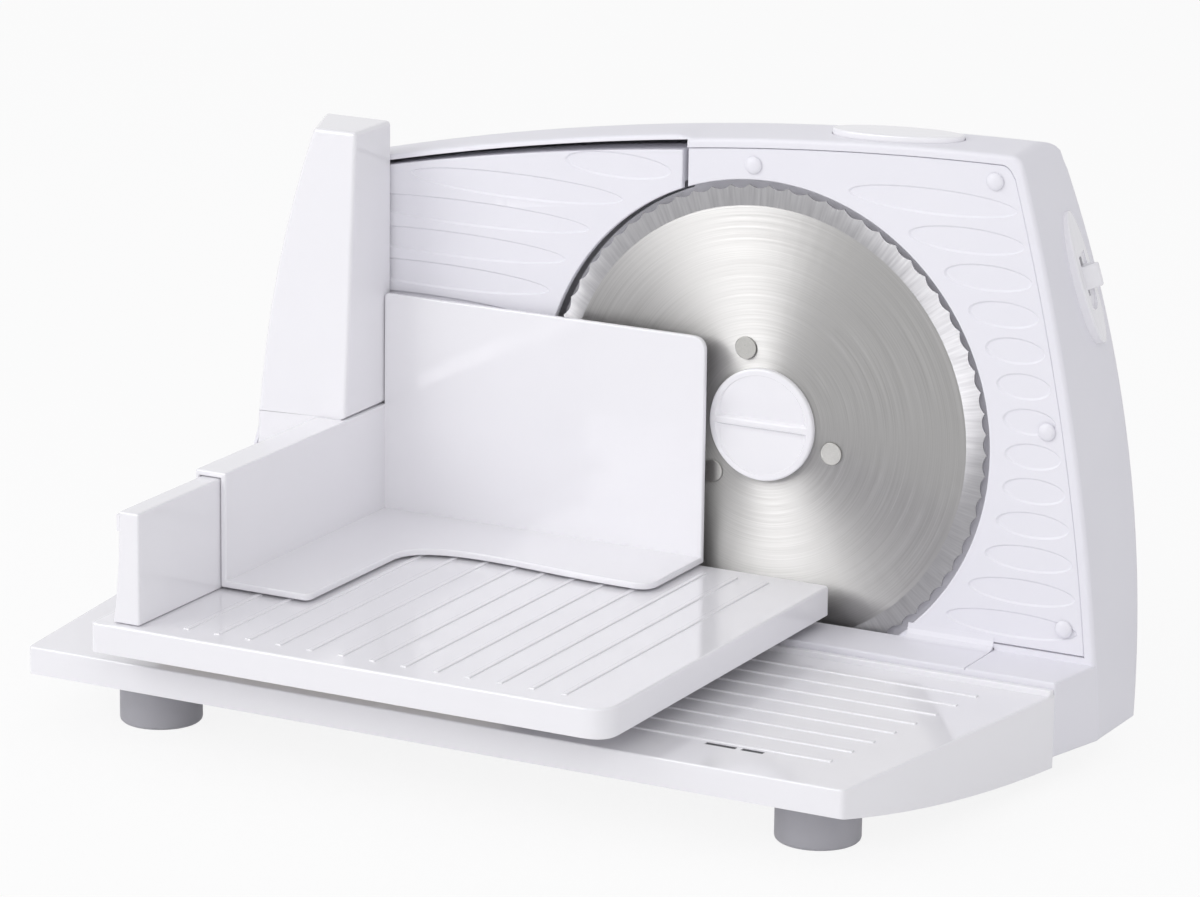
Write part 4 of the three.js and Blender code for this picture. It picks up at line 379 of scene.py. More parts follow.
def slab(points, rounds, front, back):
    """A flat-faced body from its outline, between two depths."""
    bm = bmesh.new()
    face = sheet(bm, points, rounds, front)
    drawn = bmesh.ops.extrude_face_region(bm, geom=[face])["geom"]
    moved = [part for part in drawn if isinstance(part, bmesh.types.BMVert)]
    bmesh.ops.translate(bm, verts=moved, vec=(0, back - front, 0))
    bmesh.ops.recalc_face_normals(bm, faces=bm.faces)
    return bm


def round_drop(radius, edge):
    """How far a rounded edge falls away at a distance from its rim."""
    return 0 if edge >= radius else radius - sqrt(radius ** 2 - (radius - max(0, edge)) ** 2)


def arch_body(inset, front_rings, crown=0):
    """The arch as a closed body: rings in front, then rings that round off into the curved back."""
    bm = bmesh.new()
    low_z = HOUSING_LOW_Z + inset
    rings = front_rings + [(extra, None) for extra in BACK_STEPS]
    rings.append((BACK_STEPS[-1] + BACK_CAP_IN, back_y + BACK_CAP_OUT))
    loops = []
    for extra, y in rings:
        drop = 0 if y is None else crown
        face = sheet(bm, *arch_outline(inset + extra, low_z + extra, crown=drop), y or 0)
        for vert in face.verts if y is None else ():
            x, _, z = vert.co
            side = min(side_right(z) - x, x - side_left(z)) - inset
            drop = max(round_drop(BACK_TOP_ROUND, top_arc(x) - inset - z),
                       round_drop(BACK_SIDE_ROUND, side), round_drop(BACK_SIDE_ROUND, z - low_z))
            vert.co.y = back_at(z) - inset - drop
        loops.append(face)
    for near, far in zip(loops, loops[1:]):
        bmesh.ops.bridge_loops(bm, edges=list(near.edges) + list(far.edges))
    bmesh.ops.delete(bm, geom=loops[1:-1], context="FACES_ONLY")
    bmesh.ops.recalc_face_normals(bm, faces=bm.faces)
    return bm


def cylinder(x, z, radius, front, back, sides=48):
    """A round bar along Y."""
    return turned([(0, front), (radius, front), (radius, back), (0, back)], (x, 0, z), (0, 1, 0), sides)


PLATE_T = 2.5
PLATE_FRONT_Y = -1.5
PLATE_LOW_Z = -73.0
CUTOUT_R = 97.2
COVER_INSET = 4.8
COVER_LEFT_X = -34.0
COVER_TOP_DROP = 1.0
GAUGE_INSET = 5.6
GAUGE_RIGHT_X = -36.5
GAUGE_TILT = 0.0167
GAUGE_LEVEL_X = -80.0
BEZEL_INSET = 2.2


def cover_outline(grow):
    """The blade cover's outline and rounded corner, grown for the seat that it lies in."""
    inset = COVER_INSET - grow
    low_z = PLATE_LOW_Z - grow
    left_x = COVER_LEFT_X - grow
    radius = CUTOUT_R - grow
    corner = (corner_right[0] - inset, corner_right[1] - inset - COVER_TOP_DROP)
    hook = pi - atan(sqrt(radius ** 2 - left_x ** 2) / -left_x)
    low_angle = atan(low_z / sqrt(radius ** 2 - low_z ** 2))
    right_z = spread(low_z, corner[1] - RIGHT_CORNER_RUN, 30)
    top_x = spread(corner[0] - RIGHT_CORNER_RUN, left_x, 30)
    points = [(side_right(z) - inset, z) for z in right_z] + [corner]
    points += [(x, top_arc(x) - inset - COVER_TOP_DROP) for x in top_x]
    points += [(radius * cos(a), radius * sin(a)) for a in spread(hook, low_angle, 160)]
    return points, [(corner, TOP_RIGHT_ROUND - 1)]


def gauge_outline(low_z, right_x, radius, inset, tilt=0):
    """The gauge plate's outline and rounded corner, or that of the pocket that it moves in."""
    corner = (corner_left[0] + inset, corner_left[1] - inset)
    hook = pi - atan(sqrt(radius ** 2 - right_x ** 2) / -right_x)
    low_angle = pi - atan(low_z / sqrt(radius ** 2 - low_z ** 2))
    points = [(radius * cos(a), radius * sin(a)) for a in spread(low_angle, hook, 160)]
    points += [(x, top_arc(x) - inset - tilt * (x - GAUGE_LEVEL_X))
               for x in spread(right_x, corner[0] + LEFT_CORNER_RUN, 30)] + [corner]
    points += [(side_left(z) + inset, z) for z in spread(corner[1] - LEFT_CORNER_RUN, low_z, 8)]
    return points, [(corner, TOP_LEFT_ROUND)]


RECESS_R = 97.8
RECESS_Y = 5.0
WELL_R = 44.0
WELL_Y = 31.1
POCKET_Y = 17.5
PANEL_INSET = 12.1
PANEL_ROUND = 10.0
OPENING_Y = 23.5
front_rings = [(FRONT_ROUND * (1 - sin(a)), FRONT_Y + FRONT_ROUND * (1 - cos(a)))
               for a in spread(0, pi / 2, 5)]
housing = arch_body(0, front_rings, TOP_CROWN)


def sill_body(inset, back, low_z, top_z):
    """The sill, as wide as the tray in front and flush with the arch's sides behind."""
    bm = bmesh.new()
    for z in (low_z, top_z):
        for x, y in ((tray_low.x + inset, SILL_FRONT_Y + inset), (tray_high.x - inset, SILL_FRONT_Y + inset),
                     (side_right(max(z, HOUSING_LOW_Z)) - inset, back), (LEFT_FOOT_X + inset, back)):
            bm.verts.new((x, y, z))
    bmesh.ops.convex_hull(bm, input=bm.verts)
    bmesh.ops.recalc_face_normals(bm, faces=bm.faces)
    return bm


sill = round_edges(sill_body(0, FRONT_Y + 0.5, HOUSING_LOW_Z, SILL_TOP_Z), SILL_ROUND,
                   lambda middle, edge: middle.y < FRONT_Y - 1)
housing = combine(housing, sill, "UNION")
housing = combine(housing, arch_body(WALL, [(0, RECESS_Y + WALL)]))
opening = slab(*arch_outline(PANEL_INSET, HOUSING_LOW_Z + PANEL_INSET, PANEL_ROUND), OPENING_Y, behind_y)
housing = combine(housing, opening)
housing = combine(housing, sill_body(WALL, FRONT_Y - WALL, HOUSING_LOW_Z - 10, SILL_TOP_Z - WALL))

# Inside: the gear well's wall and the gauge plate's pocket
POCKET_GAP = 1.0
COVER_GAP = 0.4
pocket_right = COVER_LEFT_X - COVER_GAP / 2
pocket_low_z = PLATE_LOW_Z - POCKET_GAP
pocket_r = CUTOUT_R - POCKET_GAP
wall_outline = gauge_outline(pocket_low_z - WALL, pocket_right + WALL, pocket_r - WALL, BEZEL_INSET + 0.1)
pocket_outline = gauge_outline(pocket_low_z, pocket_right, pocket_r, BEZEL_INSET)
housing = combine(housing, cylinder(0, 0, WELL_R + WALL, 0, WELL_Y + WALL, 96), "UNION")
housing = combine(housing, slab(*wall_outline, 0, POCKET_Y + WALL), "UNION")
housing = combine(housing, turned([(0, FRONT_Y - 1), (RECESS_R, FRONT_Y - 1), (RECESS_R, RECESS_Y),
                                   (WELL_R, RECESS_Y), (WELL_R, WELL_Y), (0, WELL_Y)],
                                  (0, 0, 0), (0, 1, 0), 192))
housing = combine(housing, slab(*cover_outline(COVER_GAP), FRONT_Y - 1, PLATE_FRONT_Y + PLATE_T + 0.3))
housing = combine(housing, slab(*pocket_outline, FRONT_Y - 1, POCKET_Y))


def prism(points, depth):
    """A closed prism: a face through points, drawn out by a vector."""
    bm = bmesh.new()
    bm.faces.new([bm.verts.new(point) for point in points])
    drawn = bmesh.ops.extrude_face_region(bm, geom=bm.faces[:])["geom"]
    moved = [part for part in drawn if isinstance(part, bmesh.types.BMVert)]
    bmesh.ops.translate(bm, verts=moved, vec=depth)
    bmesh.ops.recalc_face_normals(bm, faces=bm.faces)
    return bm


def strip(start, end, upper, lower, y, depth, tilt=0):
    """A strip that follows the arch's top between two insets, or the gauge plate's tilted top."""
    line = [(x, top_arc(x) - tilt * (x - GAUGE_LEVEL_X)) for x in spread(start, end, 30)]
    return prism([(x, y, z - upper) for x, z in line] + [(x, y, z - lower) for x, z in reversed(line)],
                 (0, depth, 0))


# Room behind the pocket for the gauge plate's flange and its return
CHANNEL_Y = 28.0
RETURN_LOW_Z = 92.5
RETURN_TOP_Z = 104.0
RETURN_ROOM = 1.0
left_end = corner_left[0] + TOP_LEFT_ROUND
channel = strip(left_end, pocket_right - 0.3, BEZEL_INSET + 0.3, GAUGE_INSET + 5,
                POCKET_Y - 1, CHANNEL_Y - POCKET_Y + 1)
channel = combine(channel, brick((GAUGE_RIGHT_X - 3.5, POCKET_Y - 0.9, RETURN_LOW_Z - RETURN_ROOM),
                                 (pocket_right - 0.4, CHANNEL_Y - 3, RETURN_TOP_Z)), "UNION")
housing = combine(housing, channel)


def hole_for(name, gap, front, back):
    """A round bar along Y that clears a CAD node, or stays inside it where gap is negative."""
    low, high = corners(name)
    return cylinder((low.x + high.x) / 2, (low.z + high.z) / 2, (high.x - low.x) / 2 + gap, front, back)


# Holes for what passes through
HOLE_GAP = 0.3
DRIVE_GAP = 1.0
BUTTON_GAP = 0.4
BUTTON_HOLE_LOW = -14.0
BUTTON_HOLE_TOP = 6.0
holes = [hole_for(name, HOLE_GAP, RECESS_Y + 1, back_y - 8)
         for name in ("guide_bush_upper", "guide_bush_lower", "gauge_nut", "blade_axle")]
shaft_low, shaft_high = corners("motor_shaft")
housing = combine(housing, brick((shaft_low.x - DRIVE_GAP, shaft_low.y - DRIVE_GAP, -WELL_R),
                                 (shaft_high.x + DRIVE_GAP, shaft_high.y + DRIVE_GAP, WELL_R)))
worm_low, worm_high = corners("worm")
worm_gap = Vector((DRIVE_GAP, DRIVE_GAP, DRIVE_GAP))
holes.append(brick(worm_low - worm_gap, worm_high + worm_gap))
button_low, button_high = corners("power_button")
button_mid = (button_low + button_high) / 2
button_half = (button_high - button_low) / 2
button_hole = turned([(0, BUTTON_HOLE_LOW), (1, BUTTON_HOLE_LOW), (1, BUTTON_HOLE_TOP), (0, BUTTON_HOLE_TOP)],
                     (0, 0, 0), (0, 0, 1), 96)
button_hole.transform(Matrix.Diagonal((button_half.x + BUTTON_GAP, button_half.y + BUTTON_GAP, 1, 1)))
button_hole.transform(Matrix.Translation((button_mid.x, button_mid.y, top_arc(button_mid.x))))
holes.append(button_hole)
switch_low, switch_high = corners("switch_slider")
holes.append(brick(switch_low + Vector((0, 5, -1)), switch_high - Vector((0, 5, -1))))
housing = combine(housing, joined(*holes))

# The seam in the sill where the cover's foot ends
SEAM_X = 101.5
SEAM_W = 0.5
SEAM_DEPTH = 0.8
housing = combine(housing, brick((SEAM_X, SILL_FRONT_Y - 1, SILL_TOP_Z - SEAM_DEPTH),
                                 (SEAM_X + SEAM_W, PLATE_FRONT_Y, SILL_TOP_Z + 1)))
bmesh.ops.remove_doubles(housing, verts=housing.verts, dist=0.001)
place(housing, "housing", white_satin_shaded, "base", "white_plastic", "housing_shell")

# Drive inside the housing
# A motor drives a worm, the worm drives the gear on the blade's back. All of it is bought in
# or pressed, turned and moulded, and screwed to the back of the gear well.


def turned_steel(name, tone, shade, roughness, line_mm):
    """Bare steel with fine tool lines: grey metal whose gloss is broken up across the lines."""
    finish, tree, shader = new_finish(name)
    shader.inputs["Metallic"].default_value = 1.0
    place_on = node(tree, "ShaderNodeTexCoord").outputs["Object"]
    lines = node(tree, "ShaderNodeTexNoise", None, {
        "Vector": place_on, "Scale": 1 / (line_mm * MILLIMETRE), "Detail": 4.0})
    vary(tree, shader, lines.outputs["Fac"], tone, shade, roughness, 0.2)
    return finish


bare_steel = turned_steel("bare_steel_turned", "#C6C5C2", "#B4B3B0", 0.3, 0.8)
sintered_bronze = turned_steel("bronze_sintered", "#B89A5A", "#A5874B", 0.42, 0.4)
# Natural acetal: creamy, waxy and smooth
natural_acetal = moulded("natural_acetal", "#E9E4D6", "#E1DBCB", 0.4, 1.48, 1.2, 0.008, 20)


def dress(finish, *names):
    """Gives CAD nodes that stay as they are a finish."""
    for name in names:
        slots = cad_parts[name].data.materials
        slots.clear()
        slots.append(finish)


dress(bare_steel, "motor_can", "motor_shaft", "worm", "gearbox_bracket", "bracket_screw_1",
      "bracket_screw_2", "blade_axle", "axle_nut", "tray_screw_1", "tray_screw_2",
      "button_spring", "gauge_post_upper", "gauge_post_lower")
dress(dark_nylon, "armature", "motor_fan", "button_switch", "run_switch")
dress(natural_acetal, "blade_gear", "guide_bush_upper", "guide_bush_lower", "gauge_nut",
      "thickness_spindle", "carriage_glide_front", "carriage_glide_rear")
dress(sintered_bronze, "worm_bush")

# Blade
# A round stainless steel blade, stamped, ground to a bevel in front and cut with a wavy edge.
# Three rivets hold it to the gear behind.
BLADE_T = 1.2
BLADE_TEETH = 72
STEPS_PER_TOOTH = 8
TOOTH_DEPTH = 1.5
BEVEL_W = 8.2
BEVEL_EDGE_T = 0.4
BORE_R = 7.9
blade_r = (blade_high.x - blade_low.x) / 2 / MILLIMETRE


def on_ring(verts, radius_of, y):
    """Moves a ring of vertices to a radius that may change round the blade."""
    for vert in verts:
        spoke = Vector((vert.co.x, 0, vert.co.z)).normalized()
        vert.co = spoke * radius_of(spoke) + Vector((0, y, 0))


def wavy(spoke):
    """The edge's radius: hollow scallops that meet in points."""
    turn = Vector((spoke.x, spoke.z)).angle_signed(Vector((1, 0))) / tau * BLADE_TEETH
    along = turn % 1
    return blade_r - TOOTH_DEPTH * 4 * along * (1 - along)


bm = bmesh.new()
bmesh.ops.create_circle(bm, segments=BLADE_TEETH * STEPS_PER_TOOTH, radius=blade_r,
                        matrix=Matrix.Rotation(pi / 2, 4, "X"))
on_ring(bm.verts, wavy, BLADE_T - BEVEL_EDGE_T)
rings = [(lambda spoke: blade_r - BEVEL_W, 0.0, 1), (lambda spoke: BORE_R, 0.0, 0),
         (lambda spoke: BORE_R, BLADE_T, 0), (wavy, BLADE_T, 0)]
first_ring = list(bm.edges)
ring = first_ring
for radius_of, y, ground in rings:
    grown = bmesh.ops.extrude_edge_only(bm, edges=ring)["geom"]
    on_ring([part for part in grown if isinstance(part, bmesh.types.BMVert)], radius_of, y)
    for part in grown:
        if isinstance(part, bmesh.types.BMFace):
            part.material_index = ground
    new_verts = {part for part in grown if isinstance(part, bmesh.types.BMVert)}
    ring = [part for part in grown if isinstance(part, bmesh.types.BMEdge)
            and part.verts[0] in new_verts and part.verts[1] in new_verts]
bmesh.ops.bridge_loops(bm, edges=first_ring + ring)
bmesh.ops.recalc_face_normals(bm, faces=bm.faces)

# The map runs outwards in U and round the blade in V, so brush lines follow the turning
uv = bm.loops.layers.uv.new("round_blade")
for face in bm.faces:
    middle = face.calc_center_median()
    base = Vector((middle.x, middle.z)).angle_signed(Vector((1, 0)))
    for loop in face.loops:
        spot = Vector((loop.vert.co.x, loop.vert.co.z))
        away = spot.angle_signed(Vector((middle.x, middle.z)))
        loop[uv].uv = (spot.length / blade_r, (base + away) / tau)


def brushed_blade(name, tone, shade, roughness, anisotropy, turn, around, outwards):
    """Brushed stainless steel: hair lines along one way of the map stretch its gloss across them."""
    finish, tree, shader = new_finish(name)
    shader.inputs["Metallic"].default_value = 1.0
    shader.inputs["Anisotropic"].default_value = anisotropy
    shader.inputs["Anisotropic Rotation"].default_value = turn
    mapped = node(tree, "ShaderNodeUVMap", {"uv_map": "round_blade"}).outputs["UV"]
    stretched = node(tree, "ShaderNodeMapping", None, {
        "Vector": mapped, "Scale": (outwards, around, 1)}).outputs["Vector"]
    hair = node(tree, "ShaderNodeTexNoise", None, {"Vector": stretched, "Scale": 1.0, "Detail": 4.0})
    vary(tree, shader, hair.outputs["Fac"], tone, shade, roughness, 0.25)
    along = node(tree, "ShaderNodeTangent", {"direction_type": "UV_MAP", "uv_map": "round_blade"})
    tree.links.new(along.outputs["Tangent"], shader.inputs["Tangent"])
    return finish


# Hair lines of about 0.4 mm round the face, drawn coarser than they are so that they show
blade_face = brushed_blade("stainless_brushed_round", "#CFCECD", "#BAB9B8", 0.56, 0.95, 0, 6, blade_r / 0.4)
# Grinding lines of about 1 mm across the bevel
blade_bevel = brushed_blade("stainless_ground_bevel", "#D3D2D4", "#B4B3B7", 0.5, 1.0, 0.25, tau * blade_r, 6)
blade = place(bm, "blade_steel", blade_face, "blade_set", "steel", "blade")
blade.data.materials.append(blade_bevel)

RIVET_HEAD_R = 4.5
RIVET_SHANK_R = 2.0
RIVET_LIP = 0.25
RIVET_HEAD_T = 0.6
RIVET_TAIL_T = 1.0
for rivet in ("blade_rivet_1", "blade_rivet_2", "blade_rivet_3"):
    low, high = corners(rivet)
    tail = high.y - low.y
    profile = [(0, 0), (RIVET_HEAD_R - RIVET_LIP, 0), (RIVET_HEAD_R, RIVET_LIP),
               (RIVET_HEAD_R, RIVET_HEAD_T), (RIVET_SHANK_R, RIVET_HEAD_T),
               (RIVET_SHANK_R, tail - RIVET_TAIL_T), (RIVET_HEAD_R * 0.8, tail - RIVET_TAIL_T),
               (RIVET_HEAD_R * 0.7, tail), (0, tail)]
    bm = turned(profile, ((low.x + high.x) / 2, low.y, (low.z + high.z) / 2), (0, 1, 0), 48)
    place(bm, rivet + "_steel", bare_steel, "blade_set", "steel", rivet)

# Blade lock
# A round ABS knob with a bar across its dished face, moulded in one piece.
# A quarter turn of its shank releases the blade.
LOCK_RIM_W = 2.6
LOCK_DISH = 1.9
LOCK_LIP = 0.2
LOCK_BAR_HALF = 1.2
LOCK_BAR_SLOPE_W = 0.9
LOCK_SHANK_R = 7.5
LOCK_GAP = 0.3
LOCK_ROUND = 0.9
LOCK_BAR_ROUND = 0.5
lock_low, lock_high = corners("blade_lock_knob")
lock_r = (lock_high.x - lock_low.x) / 2
lock_front = lock_low.y
knob_profile = [(0, lock_front), (lock_r, lock_front), (lock_r, -LOCK_GAP), (LOCK_SHANK_R, -LOCK_GAP),
                (LOCK_SHANK_R, lock_high.y), (0, lock_high.y)]
knob = turned(knob_profile, (0, 0, 0), (0, 1, 0), 128)
round_edges(knob, LOCK_ROUND, lambda middle, edge: middle.y < lock_front + 0.1, 4)

scoop_r = lock_r - LOCK_RIM_W
deep = lock_front + LOCK_DISH
for side in (-1, 1):
    bar_edge = LOCK_BAR_HALF * side
    slope_end = LOCK_BAR_HALF + LOCK_BAR_SLOPE_W
    floor_line = [(-lock_r, lock_front + LOCK_LIP + (LOCK_DISH - LOCK_LIP) * (1 - share) ** 2,
                   side * (slope_end + share * (scoop_r - slope_end))) for share in spread(0, 1, 9)]
    scoop = prism([(-lock_r, lock_front - 1, bar_edge), (-lock_r, lock_front, bar_edge),
                   *floor_line, (-lock_r, lock_front - 1, side * scoop_r)], (2 * lock_r, 0, 0))
    bowl = turned([(0, lock_front - 0.5), (scoop_r, lock_front - 0.5), (scoop_r, lock_front),
                   (scoop_r - 0.6, lock_front + 0.9), (scoop_r - 2.4, deep + 0.3), (0, deep + 0.3)],
                  (0, 0, 0), (0, 1, 0), 128)
    knob = combine(knob, combine(scoop, bowl, "INTERSECT"))
round_edges(knob, LOCK_BAR_ROUND, lambda middle, edge: middle.y < lock_front + 0.05
            and abs(abs(middle.z) - LOCK_BAR_HALF) < 0.05)
place(knob, "lock_knob", white_abs, "lock", "white_plastic", "blade_lock_knob")

# Blade cover
# The flat ABS plate right of the blade, moulded with rows of shallow sunken ellipses that keep
# food from sticking. Four domed rivets snap it into the housing.
PLATE_ROUND = 0.5
PLATE_SHARP = radians(15)
ELLIPSE_TOP_Z = 97.4
ELLIPSE_PITCH = 13.5
ELLIPSE_ROWS = 13
ELLIPSE_H = 10.4
ELLIPSE_DEPTH = 0.6
ELLIPSE_SLOPE_W = 0.8
ELLIPSE_EDGE = 6.9
ELLIPSE_CIRCLE_R = CUTOUT_R + 6.3


def plate(outline, rounds):
    """A front plate from its outline, with its front edges rounded."""
    bm = slab(outline, rounds, PLATE_FRONT_Y, PLATE_FRONT_Y + PLATE_T)
    return round_edges(bm, PLATE_ROUND, lambda middle, edge: middle.y < PLATE_FRONT_Y + 0.01)


def ellipses(spans):
    """The shallow bowls to sink, one for each (left, right, z)."""
    bm = bmesh.new()
    for left, right, z in spans:
        for grow, y in ((-ELLIPSE_SLOPE_W, ELLIPSE_DEPTH), (0, 0), (ELLIPSE_SLOPE_W, -ELLIPSE_DEPTH)):
            size = Matrix.Diagonal(((right - left) / 2 + grow, 1, ELLIPSE_H / 2 + grow, 1))
            spot = Matrix.Translation(((left + right) / 2, PLATE_FRONT_Y + y, z))
            turn = Matrix.Rotation(pi / 2, 4, "X")
            ring = bmesh.ops.create_circle(bm, segments=72, radius=1, cap_ends=y != 0,
                                           matrix=spot @ size @ turn)["verts"]
            edges = [edge for vert in ring for edge in vert.link_edges]
            if grow > -ELLIPSE_SLOPE_W:
                bmesh.ops.bridge_loops(bm, edges=list(set(edges + previous)))
            previous = edges
    bmesh.ops.recalc_face_normals(bm, faces=bm.faces)
    return bm


cover = plate(*cover_outline(0))
rows = [ELLIPSE_TOP_Z - ELLIPSE_PITCH * row for row in range(ELLIPSE_ROWS)]
circle_x = {z: sqrt(max(0, ELLIPSE_CIRCLE_R ** 2 - z * z)) for z in rows}
# Its foot runs out onto the sill in a hollow, up to the seam: depths, and heights over the plate's edge
COVER_FOOT = ((-1.2, 2.5), (-1.6, 2.5), (-1.8, 0.5), (-2.6, -1.4), (-4.4, -2.5), (-6.5, -2.85),
              (-1.2, -2.85))
foot_left = sqrt(CUTOUT_R ** 2 - PLATE_LOW_Z ** 2) + 1
foot_line = [(foot_left, y, PLATE_LOW_Z + height) for y, height in COVER_FOOT]
cover = combine(cover, prism(foot_line, (SEAM_X - foot_left, 0, 0)), "UNION")
cover = combine(cover, ellipses([(circle_x[z], side_right(z) - ELLIPSE_EDGE, z) for z in rows]))
place(cover, "cover_plate", white_satin_shaded, "base", "white_plastic", "blade_cover", sharp=PLATE_SHARP)

DOME_R = 3.5
DOME_RISE = 1.5
for rivet in ("cover_rivet_1", "cover_rivet_2", "cover_rivet_3", "cover_rivet_4"):
    low, high = corners(rivet)
    crown = [(DOME_R * sin(a), DOME_RISE * (1 - cos(a))) for a in spread(0, pi / 2, 10)]
    profile = crown + [(RIVET_SHANK_R, DOME_RISE), (RIVET_SHANK_R, high.y - low.y), (0, high.y - low.y)]
    bm = turned(profile, ((low.x + high.x) / 2, low.y, (low.z + high.z) / 2), (0, 1, 0), 48)
    place(bm, rivet + "_dome", white_satin_shaded, "base", "white_plastic", rivet)

# Gauge plate and dial
# The stop plate left of the blade sets the slice. It is an ABS moulding with the same ellipses,
# moved by the dial at the back through a coarse thread.
GAUGE_FLANGE_T = 2.2
GAUGE_FLANGE_L = 11.8
GAUGE_RETURN_L = 7.0
GAUGE_ROW_DROP = 1.3
GAUGE_SIDE_MARGIN = 4.7
ROOF_SHARE = 0.27
DIAL_ROUND = 0.6
gauge = plate(*gauge_outline(PLATE_LOW_Z, GAUGE_RIGHT_X, CUTOUT_R, GAUGE_INSET, GAUGE_TILT))
spans = []
for row in rows:
    z = row - GAUGE_ROW_DROP
    roof = TOP_X - sqrt(TOP_CURVE * (TOP_Z - GAUGE_INSET - z - ELLIPSE_H * ROOF_SHARE))
    left = max(side_left(z) + GAUGE_INSET + ELLIPSE_EDGE, roof)
    right = -sqrt(ELLIPSE_CIRCLE_R ** 2 - z * z) if abs(z) < ELLIPSE_CIRCLE_R else 0
    spans.append((left, min(right, GAUGE_RIGHT_X - GAUGE_SIDE_MARGIN), z))
flange_y = PLATE_FRONT_Y + PLATE_T - 0.5
flange = strip(left_end + 2, GAUGE_RIGHT_X - 0.05, GAUGE_INSET + 0.1, GAUGE_INSET + 0.1 + GAUGE_FLANGE_T,
               flange_y, GAUGE_FLANGE_L + 0.5, GAUGE_TILT)
flange = combine(flange, brick((GAUGE_RIGHT_X - 0.1 - GAUGE_FLANGE_T, flange_y + 0.1, RETURN_LOW_Z),
                               (GAUGE_RIGHT_X - 0.1, flange_y + GAUGE_RETURN_L, RETURN_TOP_Z)), "UNION")
gauge = combine(gauge, flange, "UNION")
gauge = combine(gauge, ellipses(spans))
place(gauge, "gauge_stop_plate", white_satin_shaded, "gauge", "white_plastic", "gauge_plate", sharp=PLATE_SHARP)

dial = round_edges(copy_of("thickness_knob"), DIAL_ROUND, lambda middle, edge: edge.calc_length() > 0.8)
place(dial, "dial_knob", white_abs, "dial", "white_plastic", "thickness_knob")

# Back panel
# A curved ABS panel with cooling slots, set into the back of the housing with four screws.
# The cord's gland beside the slots is nylon.
PANEL_GAP = 0.3
PANEL_T = 3.0
VENT_SLOTS = 7
VENT_L = 44.0
VENT_W = 3.4
VENT_PITCH = 7.0
VENT_X = 43.0
VENT_LOW_Z = HOUSING_LOW_Z + 15.5
VENT_END_SHARE = 0.48
SPINDLE_GAP = 0.4
GLAND_FLANGE_W = 2.2
SCREW_RIM_W = 1.6
PANEL_EDGE_ROUND = 0.4
SCREW_ROUND = 0.25
GLAND_ROUND = 0.5
panel_inset = PANEL_INSET + PANEL_GAP
panel = slab(*arch_outline(panel_inset, HOUSING_LOW_Z + panel_inset, PANEL_ROUND), OPENING_Y, behind_y)
panel = combine(panel, arch_body(0, [(0, FRONT_Y)]), "INTERSECT")
heights = spread(HOUSING_LOW_Z - 1, TOP_Z + 1, 60)
for depth, operation in ((0, "INTERSECT"), (PANEL_T, "DIFFERENCE")):
    curve = [(LEFT_FOOT_X - 5, back_at(z) - depth, z) for z in heights]
    ends = [(LEFT_FOOT_X - 5, OPENING_Y - 2, z) for z in (heights[-1], heights[0])]
    panel = combine(panel, prism(curve + ends, (SIDE_FOOT_X - LEFT_FOOT_X + 10, 0, 0)), operation)
back_screws = ("rear_cover_screw_1", "rear_cover_screw_2", "rear_cover_screw_3", "rear_cover_screw_4")
passing = [("thickness_spindle", SPINDLE_GAP), ("cord_gland", -GLAND_FLANGE_W)]
passing += [(screw, -SCREW_RIM_W) for screw in back_screws]
openings = [hole_for(name, gap, OPENING_Y, behind_y) for name, gap in passing]
for row in range(VENT_SLOTS):
    z = VENT_LOW_Z + VENT_PITCH * row
    vent = brick((VENT_X - VENT_L / 2, OPENING_Y, z - VENT_W / 2),
                 (VENT_X + VENT_L / 2, behind_y, z + VENT_W / 2))
    openings.append(round_edges(vent, VENT_W * VENT_END_SHARE, lambda middle, edge: abs(
        edge.verts[0].co.y - edge.verts[1].co.y) > 1, 6))
panel = combine(panel, joined(*openings))
round_edges(panel, PANEL_EDGE_ROUND, lambda middle, edge: middle.y > back_at(middle.z) - 0.2, 2)
place(panel, "back_panel", white_satin_shaded, "base", "white_plastic", "rear_cover", sharp=0)
for screw in back_screws:
    bm = round_edges(copy_of(screw), SCREW_ROUND, lambda middle, edge: edge.calc_length() > 0.8, 2)
    place(bm, screw + "_steel", bare_steel, "base", "steel", screw)
gland = round_edges(copy_of("cord_gland"), GLAND_ROUND, steps=2)
place(gland, "gland_nylon", dark_nylon, "base", "dark_plastic", "cord_gland")

# Carriage
# The food table: a hollow ABS slab, ribbed along the feed, that slides on two acetal glides.
# The fence and the tall finger guard stand on its left edge.
CARRIAGE_EDGE_ROUND = 1.0
FENCE_ROUND = 0.9
GUARD_ROUND = 1.6
CARRIAGE_RIB_H = 0.8
CARRIAGE_RIM_W = 12.0
CARRIAGE_BACK_RIM_W = 6.0
carriage_low, carriage_high = corners("carriage")
carriage_top = carriage_high.z - CARRIAGE_RIB_H
carriage = copy_of("carriage")


def on_rim(middle, edge):
    """True for the edges of the top that run round its rim, not those of the ribs."""
    inside_x = carriage_low.x + CARRIAGE_RIM_W <= middle.x <= carriage_high.x - CARRIAGE_RIM_W
    inside_y = carriage_low.y + CARRIAGE_RIM_W <= middle.y <= carriage_high.y - CARRIAGE_BACK_RIM_W
    return abs(middle.z - carriage_top) < 0.05 and not (inside_x and inside_y)


round_edges(carriage, CARRIAGE_EDGE_ROUND, on_rim)
ribs = [vert for vert in carriage.verts if vert.co.z > carriage_high.z - 0.05]
bmesh.ops.translate(carriage, verts=ribs, vec=(0, 0, -RIB_CUT / 2))
round_edges(carriage, RIB_ROUND, lambda middle, edge: middle.z > carriage_top + 0.3)
place(carriage, "food_table", white_abs, "carriage_set", "white_plastic", "carriage")

